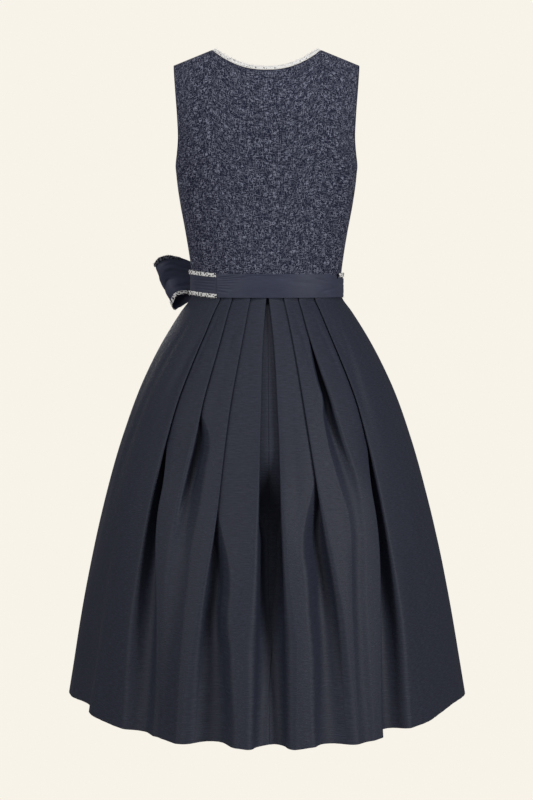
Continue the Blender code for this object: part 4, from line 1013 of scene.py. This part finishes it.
def panel_between(start, end, over, under, points):
    """The flat of cloth from one fold to the next. It has points over the fold that it covers and
    under the fold that covers it, so that the layers there stay parallel."""
    width = end[0] - start[0]
    reach = np.maximum([over, under], 0.12 * width)
    reach *= min(1.0, 0.97 * width / reach.sum())
    s = np.concatenate([
        np.linspace(start[0], start[0] + reach[0], 4)[1:-1],
        np.linspace(start[0] + reach[0], end[0] - reach[1], points),
        np.linspace(end[0] - reach[1], end[0], 4)[1:-1],
    ])
    slope = (end[1] - start[1]) / width
    out = start[1] + slope * (s - start[0])
    return np.stack([s, out, np.full_like(s, math.atan(slope))], axis=1)


def trough_depth(azimuth, drop):
    """How far the soft troughs draw the cloth in, at azimuths from the centre back."""
    total = np.zeros_like(azimuth)
    for row in TROUGHS:
        trough = dict(zip(TROUGH_COLUMNS, row))
        share = drop / SKIRT_SECTIONS[-1][0]
        at = trough["azimuth_top"] + (trough["azimuth_hem"] - trough["azimuth_top"]) * share
        grown = smooth((drop - trough["starts"]) / (trough["full"] - trough["starts"]))
        faded = 1 - smooth((drop - trough["full"]) / (trough["fades"] - trough["full"]))
        away = (azimuth - at) * math.copysign(1, at)
        width = np.where(away < 0, trough["inner"], trough["outer"])
        total += trough["depth"] * MM * grown * faded * np.exp(-((away / width) ** 2))
    return total


# Soft creases of the skirt: azimuth from the centre back, and the drop in steps of 3 mm.
SKIRT_CREASE_UNIT = 3 * MM
SKIRT_CREASES = (
    (42, 20, 53, 70, 1.4, 1.6), (-54, 20, -45, 78, 1.3, 1.8),
    (38, 12, 41, 58, 1.0, 0.9), (-37, 12, -40, 55, 1.1, 1.0),
    (22, 14, 24, 90, 1.6, 0.8), (-23, 14, -25, 80, 1.5, 0.8),
    (8, 30, 10, 150, 1.7, 0.8), (-10, 26, -11, 160, 1.6, 0.7),
    (60, 10, 72, 120, 2.4, 1.6), (-62, 12, -70, 130, 2.2, 1.5),
    (74, 30, 80, 170, 2.6, 1.2), (-78, 24, -74, 160, 2.5, 1.3),
    (57, 150, 57, 232, 3.5, 2.6), (40, 160, 36, 235, 2.4, 1.6),
    (-30, 130, -26, 236, 2.6, 1.8), (-56, 140, -54, 236, 3.0, 2.0),
    (100, 20, 108, 110, 2.6, 1.5), (-99, 18, -104, 120, 2.4, 1.4),
    (118, 14, 121, 150, 2.0, 1.2), (-119, 16, -123, 140, 2.2, 1.2),
    (140, 40, 146, 200, 3.0, 1.6), (-142, 36, -139, 210, 3.2, 1.5),
)
SKIRT_WAVES = (
    (1 / 19, 1 / 160, 0.3, 0.5), (-1 / 31, 1 / 90, 1.9, 0.5), (1 / 11.3, -1 / 210, 4.0, 0.25),
)
HEM_WAVES = ((1 / 2.9, 0.0, 0.7, 0.16), (1 / 4.7, 0.0, 2.2, 0.22))
# Where the hem hangs lower, or higher where negative: azimuth, half width, depth in millimetres.
HEM_DIPS = (
    (29, 11, 5.5), (-25, 9, 6.0), (70, 11, -6.0), (-74, 9, -6.0), (2.8, 3.5, 2.5), (-7, 4, 3.0),
    (112, 12, 3.5), (-118, 14, 4.0), (168, 10, -3.0), (-160, 12, 3.0),
)


def hem_dip(azimuth):
    """Sum of soft bumps, each a bell curve round its azimuth."""
    bells = (depth * MM * np.exp(-((azimuth - at) / half) ** 2) for at, half, depth in HEM_DIPS)
    return sum(bells)


def skirt_relief(azimuth, drop):
    """Fine relief of the skirt's cloth, taken inwards: its soft creases, long uneven waves and the
    slight puckers of the sewn hem."""
    w = drop / SKIRT_CREASE_UNIT
    waves = ripple(azimuth, w, SKIRT_WAVES) * smooth((drop - 0.05) / 0.25)
    hem = ripple(azimuth, w, HEM_WAVES) * smooth((drop - 0.64) / 0.04)
    return (creases(SKIRT_CREASES, azimuth, w) + waves + hem) * smooth((drop - 0.022) / 0.04)


def skirt_row(quarter, drop):
    """Points and normals round one quarter of the skirt at one height, from the centre line to the
    side. The left edge of the centre-back seam and the front's side edges lie behind the edges that
    they meet."""
    arc, azimuth, place, tangent, normal = skirt_ring(drop)
    back, tucked = quarter.startswith("back"), quarter == "back_left"
    behind = 1.1 * CLOTH_WALL["skirt"]
    start_arc = np.interp(SEAM_AZIMUTH[quarter], azimuth, arc) + BUTT_GAP / 2
    end_arc = np.interp(90.0, azimuth, arc) - BUTT_GAP / 2
    depth = sum(pleat_shape(row, drop)[0, 1] for row in (CENTRE_LEFT, CENTRE_RIGHT)) / 2 * back
    last = np.array([start_arc - SEAM_TUCK * tucked, depth - behind * tucked, 0.0])
    rows, over, between = [last[None]], 0.0, 2 if back else WIDE_POINTS
    for row in PLEATS[quarter]:
        shape = pleat_shape(row, drop)
        shape[:, 0] += np.interp(curve_through(EDGE_DROPS, row[0], drop), azimuth, arc)
        under = shape[0, 0] - shape[-ARC_POINTS, 0]
        rows += [panel_between(last, shape[0], over, under, between), shape]
        over = shape[-ARC_POINTS - 1 - LAP_POINTS, 0] - shape[-1, 0]
        last, between = shape[-1], PANEL_POINTS
    end = np.array([end_arc + SEAM_TUCK * (not back), -behind * (not back), 0.0])
    rows += [panel_between(last, end, over, 0.0, WIDE_POINTS), end[None]]
    s, out, heading = np.concatenate(rows).T
    side_x, side_y = SIDES[quarter]
    own = np.interp(s, arc, azimuth)
    from_back = side_x * (own if side_y > 0 else 180 - own)
    out = out - trough_depth(from_back, drop)
    out = out - skirt_relief(from_back, drop) * smooth((90 - own) / 6)
    here, along, away = (
        np.stack([np.interp(s, arc, values[:, k]) for k in (0, 1)], axis=1)
        for values in (place, tangent, normal)
    )
    along, away = unit(along), unit(away)
    points = here + away * out[:, None]
    normals = away * np.cos(heading)[:, None] - along * np.sin(heading)[:, None]
    flip = np.array([side_x, side_y])
    z = WAIST_SEAM_Z - BUTT_GAP / 2 - drop - hem_dip(from_back) * smooth((drop - 0.60) / 0.11)
    return np.column_stack([points * flip, z]), np.column_stack([normals * flip, 0 * z])


def make_skirt():
    """Four quarters, each the rows of its pleats at many drops, closer together at the waist."""
    drops = in_two(0, SKIRT_CLOSE_DROP, HEM_DROP, *SKIRT_ROWS)
    for quarter in SIDES:
        points, normals = np.stack([skirt_row(quarter, drop) for drop in drops], axis=1)
        slot = "skirt_" + quarter
        cloth(slot + "_taffeta", slot, "skirt", points, normals)


def oval_at(azimuth, half_width, half_depth, power, stand=0.0):
    """Points and normals of an oval at azimuths from the centre back, moved out by stand."""
    angle = np.radians(azimuth)
    ray = np.stack([np.sin(angle), np.cos(angle)], axis=-1)
    size = np.stack([half_width + 0 * azimuth, half_depth + 0 * azimuth], axis=-1)
    power = (power + 0 * azimuth)[..., None]
    place = ray * np.sum((np.abs(ray) / size) ** power, axis=-1, keepdims=True) ** (-1 / power)
    normal = unit(np.sign(ray) * (np.abs(place) / size) ** (power - 1) / size)
    return place + normal * np.asarray(stand)[..., None], normal


def with_height(place, z):
    """Level places with their heights added."""
    return np.concatenate([place, z[..., None]], axis=-1)


# Apron


# Fine pulls below the band: place across in hundredths, its lean, reach in centimetres, depth.
APRON_PULLS = (
    (-88, 1, 9, 0.7), (-79, -1, 14, 0.9), (-71, 1, 7, 0.6), (-62, 2, 17, 1.0), (-54, 0, 8, 0.7),
    (-46, -1, 12, 0.9), (-37, 1, 16, 0.8), (-29, 1, 7, 0.7), (-21, -1, 11, 0.9), (-12, 0, 18, 1.0),
    (-4, 1, 8, 0.6), (5, -1, 13, 0.9), (13, 1, 7, 0.7), (22, 1, 15, 1.0), (30, -1, 9, 0.7),
    (39, 0, 12, 0.8), (47, 1, 18, 1.0), (56, -1, 8, 0.6), (64, 1, 13, 0.9), (73, 1, 9, 0.8),
    (83, 0, 15, 0.9),
)
APRON_WAVES = ((2.3, 1.1, 0.5, 0.8), (-3.7, 2.3, 2.0, 0.6))


def band_lift(azimuth):
    """The sash rides up a little towards the bow."""
    return BAND_LIFT * smooth((azimuth - 42.0) / 40.0) * smooth((200.0 - azimuth) / 50.0)


def make_apron():
    """The apron in soft gathers that deepen towards its hem, with short pulls under the band."""
    hem = WAIST_SEAM_Z - APRON_HEM_Z
    drops = in_two(APRON_TOP_DROP, APRON_CLOSE_DROP, hem, *APRON_ROWS)
    t, drop = np.meshgrid(np.linspace(-1, 1, APRON_COLUMNS), drops)
    share = (drop - APRON_TOP_DROP) / (hem - APRON_TOP_DROP)
    azimuth = 180.0 + (APRON_TOP_SPAN + (APRON_HEM_SPAN - APRON_TOP_SPAN) * share) * t
    wave = APRON_WAVE_TOP + (APRON_WAVE_HEM - APRON_WAVE_TOP) * share ** 1.3
    stand = APRON_STAND_TOP + (APRON_STAND_HEM - APRON_STAND_TOP) * smooth(share * 3)
    uneven = 1 + 0.25 * np.sin(5.1 * t + 0.6)
    phase = math.pi * APRON_GATHERS * (t + 0.045 * np.sin(3.7 * t + 1.0))
    out = stand + wave * uneven * (0.5 + 0.5 * np.cos(phase))
    pulls = [(at, 2.4, at + lean, 2.4 + reach, 0.55, deep) for at, lean, reach, deep in APRON_PULLS]
    out = out + creases(pulls, t * 100, drop * 100)
    out = out + ripple(t, drop, APRON_WAVES) * smooth(share * 4)
    place, _ = oval_at(azimuth, *skirt_size(drop), out)
    points = with_height(place, WAIST_SEAM_Z - drop + band_lift(azimuth) * (1 - share) ** 6)
    cloth("apron_taffeta_panel", "apron_panel", "apron", points)


# Sash


def waist_point(azimuth, z, stand):
    """A place on the sash, stand metres outside the dress, and the outward direction there. The
    sash is straight from its upper edge to its lower one."""
    share = ((z - SASH_BOTTOM_Z) / (SASH_TOP_Z - SASH_BOTTOM_Z))[..., None]
    low, low_normal = oval_at(azimuth, *SASH_LOW_RING)
    high, high_normal = oval_at(azimuth, *SASH_HIGH_RING)
    normal = unit(low_normal + (high_normal - low_normal) * share)
    place = low + (high - low) * share + normal * np.asarray(stand)[..., None]
    return with_height(place, z), with_height(normal, 0 * z)


SASH_MM_PER_DEGREE, SASH_RUN_SHIFT = 2.27, 5.9
# How many degrees before the knot the tie stops, hidden by the bow.
TIE_STOP = 6.5
# Band and tie meet flush: how far they stand out there, over how many degrees each runs back to
# its own stand, and the gap between them in degrees.
JOINT_STAND, JOINT_REACH, JOINT_GAP = BAND_STAND + 0.45 * MM, 1.6, 0.05
# Pulls of the tie and of the band from where they are sewn together, and elsewhere along them:
# their run from the centre back and their height, both in millimetres.
TIE_PULLS = (
    (114, 13, 62, 17.5, 1.0, 1.3), (114, 10.5, 30, 15.5, 1.3, 1.4), (114, 7.0, 52, 10.5, 1.1, 1.3),
    (114, 3.5, 66, 4.5, 1.2, 1.0), (114, 0.0, 80, -1.0, 1.3, 0.9), (112, -4, 76, -6.5, 1.4, 0.9),
    (114, -9, 84, -12, 1.5, 0.8), (60, 17.0, -52, 15.5, 1.2, 0.9), (20, 13.0, -70, 12.0, 2.2, 0.5),
    (-40, 8, -118, 2, 3.0, 0.4), (-96, 12, -140, 5, 2.0, 0.6), (-110, -10, -158, -3, 2.0, 0.6),
    (-150, 3, -290, 2, 1.6, 0.9), (-170, -4, -420, -4, 1.5, 0.8), (-330, 5, -500, 3, 1.4, 0.9),
    (-440, -1, -522, -1, 1.2, 1.0), (-460, 5, -522, 4, 1.1, 0.9), (-452, -6, -522, -4, 1.1, 0.9),
)
BAND_PULLS = (
    (114, 7.5, 190, 5.0, 1.3, 1.3), (114, 2.5, 180, 1.0, 1.2, 1.1),
    (114, -3.0, 196, -4.5, 1.3, 1.2), (120, -8.0, 172, -9.0, 1.2, 0.8),
    (190, 6, 290, 4, 1.5, 1.0), (200, -5, 290, -3, 1.4, 1.0), (300, 3, 420, 2, 1.6, 0.8),
    (330, -6, 500, -5, 1.7, 0.8), (480, 6, 640, 5, 1.6, 0.8),
)


def sash_strip(name, slot, azimuths, rows, low, high, stand_at):
    """A strip of the sash between two heights above its middle line, at a stand worked out from
    the run in millimetres and the height of each point."""
    azimuth = np.broadcast_to(azimuths, (rows, len(azimuths)))
    height = low + (high - low) * np.linspace(0, 1, rows)[:, None] + 0 * azimuth
    stand = stand_at(azimuth * SASH_MM_PER_DEGREE + SASH_RUN_SHIFT, height)
    joined = smooth(np.abs(azimuth - BAND_LEFT_END) / JOINT_REACH)
    around = azimuth + 360 * (azimuth < 0)
    z = SASH_CENTRE_Z + band_lift(around) + height
    points, _ = waist_point(around, z, JOINT_STAND + (stand - JOINT_STAND) * joined)
    cloth(name, slot, "satin", points)


def make_band():
    """The apron's band, slack in soft waves and pulled in where it is sewn to the tie, with a braid
    on its upper and its lower edge."""

    def stand_at(run, height):
        """The band's own stand with a soft wave, less a share of its pulls."""
        pulls = np.minimum(creases(BAND_PULLS, run, height / MM), 0.9 * MM)
        slack = np.sin(run / 23) * np.cos(math.pi * height / 2 / BAND_HALF_HEIGHT)
        return BAND_STAND + 0.4 * MM + 0.25 * MM * slack - 0.55 * pulls

    azimuths = np.linspace(BAND_LEFT_END, BAND_RIGHT_END, BAND_GRID[0])
    half = BAND_HALF_HEIGHT
    sash_strip("apron_band_satin", "apron_band", azimuths, BAND_GRID[1], -half, half, stand_at)
    stand = 2 * SEAM_GAP + RIBBON_WALL + BRAID_WALL / 2
    outer = BAND_HALF_HEIGHT + BAND_BRAID_OVERHANG
    edges = ("upper", 1, BAND_RIGHT_END), ("lower", -1, LOW_BRAID_RIGHT_END)
    for seed, (edge, sign, end) in enumerate(edges, 21):
        azimuths = np.linspace(BAND_LEFT_END, end, BAND_BRAID_COLUMNS)
        middle = SASH_CENTRE_Z + band_lift(azimuths)
        foot, normals = waist_point(azimuths, middle + sign * (outer - BAND_BRAID_HEIGHT), stand)
        head, _ = waist_point(azimuths, middle + sign * outer, stand)
        braid("band_braid_" + edge, "apron_band", seed, foot, head, normals, BAND_HAIRS,
              RIBBON_FRINGE, BAND_TONE)


def make_tie():
    """The ribbon starts at the band's left end and runs round the back, the right side and the
    front. It is puffed at the back, and narrows and stands out where it lies over the band."""
    azimuths = np.linspace(KNOT_AZIMUTH - 360 + TIE_STOP, BAND_LEFT_END - JOINT_GAP, TIE_GRID[0])
    over = smooth((-azimuths - 52) / 16)
    high, low = (
        TIE_HALF_HEIGHT + (TIE_NARROW_HALF - TIE_HALF_HEIGHT) * smooth((-azimuths - at) / 11)
        for at in (60, 78)
    )

    def stand_at(run, height):
        """From the stand on the dress to that over the band, with a puff, less the pulls."""
        pulls = 0.6 * creases(TIE_PULLS, run, height / MM) * (1 - 0.3 * over)
        puff = 0.5 * MM * np.cos(math.pi * height / 2 / TIE_HALF_HEIGHT) * (1 - over)
        return BAND_STAND + (OVER_BAND_STAND - BAND_STAND) * over + 0.35 * MM + puff - pulls

    sash_strip("tie_ribbon_satin", "tie_ribbon", azimuths, TIE_GRID[1], -low, high, stand_at)


# Bow


def knot_frame():
    """Centre of the knot, the direction out of the body there, and that along the waist."""
    azimuth = np.array([KNOT_AZIMUTH])
    z = np.array([SASH_CENTRE_Z + float(band_lift(azimuth)[0])])
    stand = np.array([BAND_STAND + RIBBON_WALL / 2 + SEAM_GAP + KNOT_HALF[1]])
    place, normal = waist_point(azimuth, z, stand)
    outwards = normal[0]
    return place[0], outwards, np.array([-outwards[1], outwards[0], 0.0])


def loop_surface(turn, across, loop):
    """A bow loop: a drop shape in plan, pinched at the knot, and as tall as its table says. Its
    upper edge reaches further than its lower one by its slant."""
    length = np.sin(math.pi * turn) ** 0.75
    gap = LOOP_PINCH_GAP + (LOOP_OPEN - LOOP_PINCH_GAP) * np.sin(math.pi * turn)
    upper, first, last = (
        from_table(LOOP_SHAPE, LOOP_COLUMNS, name, length) for name in LOOP_COLUMNS[1:]
    )
    lower = first + (last - first) * smooth((turn - 0.45) / 0.1)
    far = (loop["reach"] + loop["slant"] * across + LOOP_BULGE * (1 - across ** 2)) * length
    along = (KNOT_HALF[0] + loop["start"] + far)[..., None]
    height = loop["size"] * MM * (upper - lower + across * (upper + lower)) / 2
    lift = (height + loop["rise"] * far)[..., None]
    apart = (np.cos(math.pi * turn) * gap)[..., None]
    place = loop["centre"] + loop["along"] * along + loop["first"] * apart
    return place + np.array([0, 0, 1.0]) * lift


# Folds that fan out from the knot over both layers of a loop, at shares of the turn and of the
# half height.
LOOP_PULLS = (
    (0.03, 0.45, 0.30, 0.62, 0.09, 2.4), (0.02, 0.10, 0.36, 0.30, 0.10, 1.8),
    (0.03, -0.45, 0.28, -0.70, 0.08, 2.0), (0.10, 0.75, 0.42, 0.72, 0.07, 1.2),
    (0.30, -0.10, 0.52, -0.45, 0.10, 1.6), (0.97, 0.40, 0.70, 0.58, 0.09, 2.2),
    (0.98, 0.05, 0.66, 0.22, 0.10, 1.8), (0.97, -0.45, 0.72, -0.62, 0.08, 2.0),
    (0.60, 0.70, 0.48, 0.20, 0.10, 1.2),
)


def loop_strip(turn, across, loop):
    """A grid on the loop and its normals, which point out of it. Each layer has one hollow, which
    starts at the knot and ends before the fold, and pulls that fan out from the knot."""
    t, w = np.meshgrid(turn, across)
    points = loop_surface(t, w, loop)
    normals = grid_normals(points)
    if normals[0, len(turn) // 2] @ loop["along"] < 0:
        normals = -normals
    hollow = LOOP_HOLLOW * np.exp(-((w + 0.15) / 0.33) ** 2)
    hollow = hollow * np.abs(np.sin(2 * math.pi * t)) ** 0.7
    pulls = creases(LOOP_PULLS, t, w) * smooth(np.sin(math.pi * t) / 0.12)
    points = points - normals * (hollow + pulls)[..., None]
    turned = grid_normals(points)
    return points, turned if np.sum(turned * normals) > 0 else -turned


def make_loop(name, seed, tones, **loop):
    """A loop with a braid on each edge. Its points are closer together near the fold."""
    turn = np.linspace(0, 1, LOOP_GRID[0])
    turn = turn + LOOP_CROWDING * np.sin(2 * math.pi * turn)
    points, normals = loop_strip(turn, np.linspace(-1, 1, LOOP_GRID[1]), loop)
    cloth(name + "_satin", name, "satin", points, normals)
    for edge, sign, tone in (("upper", 1, tones[1]), ("lower", -1, tones[0])):
        span = np.linspace(turn[LOOP_FREE], turn[-1 - LOOP_FREE], LOOP_BRAID_COLUMNS)
        strip, out = loop_strip(span, sign * np.array(LOOP_BRAID_SHARES), loop)
        edge_braid(name, edge, seed + (sign > 0), strip, out, BAND_HAIRS, tone)


def make_tail(name, seed, azimuth, length, swing, lift, slant, sway):
    """A tail that hangs down over the apron from the knot, pinched at its top and with long soft
    folds below, its end cut on a slant, with a braid on each edge."""
    clear = APRON_STAND_HEM + APRON_WAVE_HEM * 0.9

    def surface(across, down):
        """Places at shares across and down, clear of the apron by its folds and its pinch."""
        w, t = np.meshgrid(across, down)
        folds = 2.2 * MM * np.sin(math.pi * (1.6 * w + sway)) * smooth(t / 0.3) * (1 - 0.4 * t)
        pinch = 1.6 * MM * np.cos(3.2 * math.pi * w) * np.exp(-t / 0.12) * smooth(t / 0.03)
        puff = np.maximum(folds + pinch + 1.2 * MM * smooth(t / 0.3), 0)
        stand = lift + clear * (0.6 + 0.4 * smooth(t)) + puff
        drop = WAIST_SEAM_Z - TAIL_TOP_Z + t * length + slant * w * t
        half = TAIL_TOP_HALF_WIDTH + (TAIL_HALF_WIDTH - TAIL_TOP_HALF_WIDTH) * smooth(t / 0.35)
        size = skirt_size(drop)
        place, _ = oval_at(azimuth + swing * t + np.degrees(w * half / size[0]), *size, stand)
        return with_height(place, WAIST_SEAM_Z - drop)

    columns, rows = TAIL_GRID
    points = surface(np.linspace(-1, 1, columns), np.linspace(0, 1, rows))
    cloth(name + "_satin", name, "satin", points)
    inset = TAIL_BRAID_HEIGHT / TAIL_HALF_WIDTH
    down = np.linspace(TAIL_FREE, 1, TAIL_BRAID_COLUMNS)
    for edge, sign in (("left", 1), ("right", -1)):
        strip = surface(np.array([sign * (1 - inset), sign * 1.0]), down)
        out = outward(strip, grid_normals(strip)).transpose(1, 0, 2)
        strip = strip.transpose(1, 0, 2)
        edge_braid(name, edge, seed + (sign > 0), strip, out, TAIL_HAIRS, RIBBON_TONE)


def make_knot(centre, outwards, sideways):
    """The knot: a rounded lump, a boxy oval in each cross-section, with wrapped folds as waves that
    slant round it."""
    heights = np.linspace(-1, 1, KNOT_RINGS + 2)[1:-1]
    angles = np.arange(KNOT_SIDES) * 2 * math.pi / KNOT_SIDES
    height, angle = np.meshgrid(heights, angles, indexing="ij")
    ring = np.stack([np.cos(angle), np.sin(angle)], axis=-1)
    ring = np.sign(ring) * np.abs(ring) ** 0.7
    radius = (1 - np.abs(height) ** 3.2) ** 0.5
    wrap = 1 - np.cos(2 * math.pi * (1.9 * height + 0.25 * np.sin(angle + 0.6)))
    fold = 1 - 0.05 * wrap * (1 - height ** 4)
    flat = ring[..., :1] * sideways * KNOT_HALF[0] + ring[..., 1:] * outwards * KNOT_HALF[1]
    tip = np.array([0, 0, KNOT_HALF[2]])
    points = centre + flat * (radius * fold)[..., None] + tip * height[..., None]
    vertices = np.concatenate([points.reshape(-1, 3), [centre - tip, centre + tip]])
    faces = facing_out(vertices, lathe_faces(*height.shape))
    uv = np.stack([angle * KNOT_HALF[0], height * KNOT_HALF[2]], axis=-1).reshape(-1, 2)
    uv = np.concatenate([uv, [[0, -KNOT_HALF[2]], [0, KNOT_HALF[2]]]])
    piece = put_mesh("bow_knot_satin", vertices, faces, "satin", "bow_knot", uv)


def make_bow():
    """The knot, the two loops that leave it and the two tails that hang below it."""
    centre, outwards, sideways = knot_frame()
    make_knot(centre, outwards, sideways)
    side_way = unit(np.array(SIDE_LOOP_WAY))
    # The side loop's upper braid carries a lower tone: painted shade.
    make_loop(
        "bow_loop_side", 31, SIDE_LOOP_TONES_UPPER_SHADED, start=SIDE_LOOP_START, reach=SIDE_LOOP_REACH,
        slant=SIDE_LOOP_SLANT, size=1.0, rise=0.0, centre=centre, along=side_way,
        first=np.array([-side_way[1], side_way[0], 0.0]),
    )
    make_loop(
        "bow_loop_front", 35, (RIBBON_TONE, RIBBON_TONE), start=FRONT_LOOP_START,
        reach=FRONT_LOOP_REACH, slant=0.0, size=FRONT_LOOP_SIZE, rise=-0.05, centre=centre,
        along=-sideways, first=-outwards,
    )
    make_tail(
        "bow_tail_long", 41, azimuth=KNOT_AZIMUTH, length=0.36, swing=5.0, lift=1.0 * MM,
        slant=0.012, sway=0.2,
    )
    make_tail(
        "bow_tail_short", 45, azimuth=KNOT_AZIMUTH + 6.0, length=0.31, swing=14.0, lift=6.5 * MM,
        slant=-0.012, sway=0.7,
    )


# Stage


def make_camera():
    """Behind the dress at the height of its waist, tilted down a little."""
    data = bpy.data.cameras.new("photo_camera")
    data.sensor_width, data.lens = SENSOR, SENSOR * FOCAL_PIXELS / FRAME_PIXELS
    turn = (math.radians(90 - CAMERA_TILT), 0, math.pi)
    bpy.context.scene.camera = put_object("photo_camera", data, CAMERA_PLACE, turn)


LIGHTS = (
    # name, place, size in metres, watts
    ("key_softbox", (-2.8, 2.5, 0.3), 1.5, 72.0),
    ("fill_softbox", (2.4, 2.8, 0.1), 1.8, 36.0),
    ("side_softbox", (2.3, 0.7, 0.5), 0.8, 7.0),
    ("front_softbox", (0.6, -3.2, 1.0), 2.4, 60.0),
    ("top_softbox", (0.0, 1.0, 2.7), 1.6, 24.0),
)


def make_lights():
    """Round soft lights that face the middle of the dress."""
    for name, place, size, watts in LIGHTS:
        data = bpy.data.lights.new(name, "AREA")
        data.shape, data.size, data.energy = "DISK", size, watts
        back = unit(np.array(place) - LIGHT_TARGET)
        put_object(name, data, place, (math.acos(back[2]), 0, math.atan2(back[0], -back[1])))


def mixed(tree, share, first, second):
    """The first shader where the share is 0, and the second where it is 1."""
    return node(tree, "ShaderNodeMixShader", {0: share, 1: first, 2: second}).outputs[0]


def make_world():
    """Plain cream behind the object, and a weaker even light from all round."""
    world = bpy.data.worlds.new("studio")
    bpy.context.scene.world = world
    world.use_nodes = True
    tree = world.node_tree
    tree.nodes.clear()
    lit, seen = (
        node(tree, "ShaderNodeBackground", {"Color": linear(tint), "Strength": strength}).outputs[0]
        for tint, strength in (AMBIENT, BACKDROP)
    )
    to_camera = node(tree, "ShaderNodeLightPath").outputs["Is Camera Ray"]
    node(tree, "ShaderNodeOutputWorld", {"Surface": mixed(tree, to_camera, lit, seen)})


def make_floor():
    """A plain pale floor that fades out round the object."""
    made, tree = finish_of(
        "painted_floor", Base_Color=linear(FLOOR_PAINT), Roughness=0.9, Specular_IOR_Level=0.1,
    )
    place = node(tree, "ShaderNodeTexCoord").outputs["Object"]
    far = node(tree, "ShaderNodeVectorMath", {0: place}, operation="LENGTH").outputs["Value"]
    clear = node(tree, "ShaderNodeBsdfTransparent").outputs[0]
    paint = tree.nodes["Principled BSDF"].outputs[0]
    faded = mixed(tree, ramp(tree, far, *FLOOR_FADE, 1.0, 0.0), clear, paint)
    tree.links.new(faded, tree.nodes["Material Output"].inputs[0])
    mesh = bpy.data.meshes.new("studio_floor")
    angles = np.arange(FLOOR_SIDES) * 2 * math.pi / FLOOR_SIDES
    ring = FLOOR_RADIUS * np.stack([np.cos(angles), np.sin(angles), 0 * angles], axis=1)
    mesh.from_pydata(ring.tolist(), [], [tuple(range(FLOOR_SIDES))])
    mesh.materials.append(made)
    put_object("studio_floor", mesh, (0, 0, FLOOR_Z))


bpy.context.scene.view_settings.view_transform = "Standard"
make_camera()
make_world()
make_lights()
make_floor()
make_neck_braid(*make_bodice())
make_buttons()
make_skirt()
make_apron()
make_band()
make_tie()
make_bow()
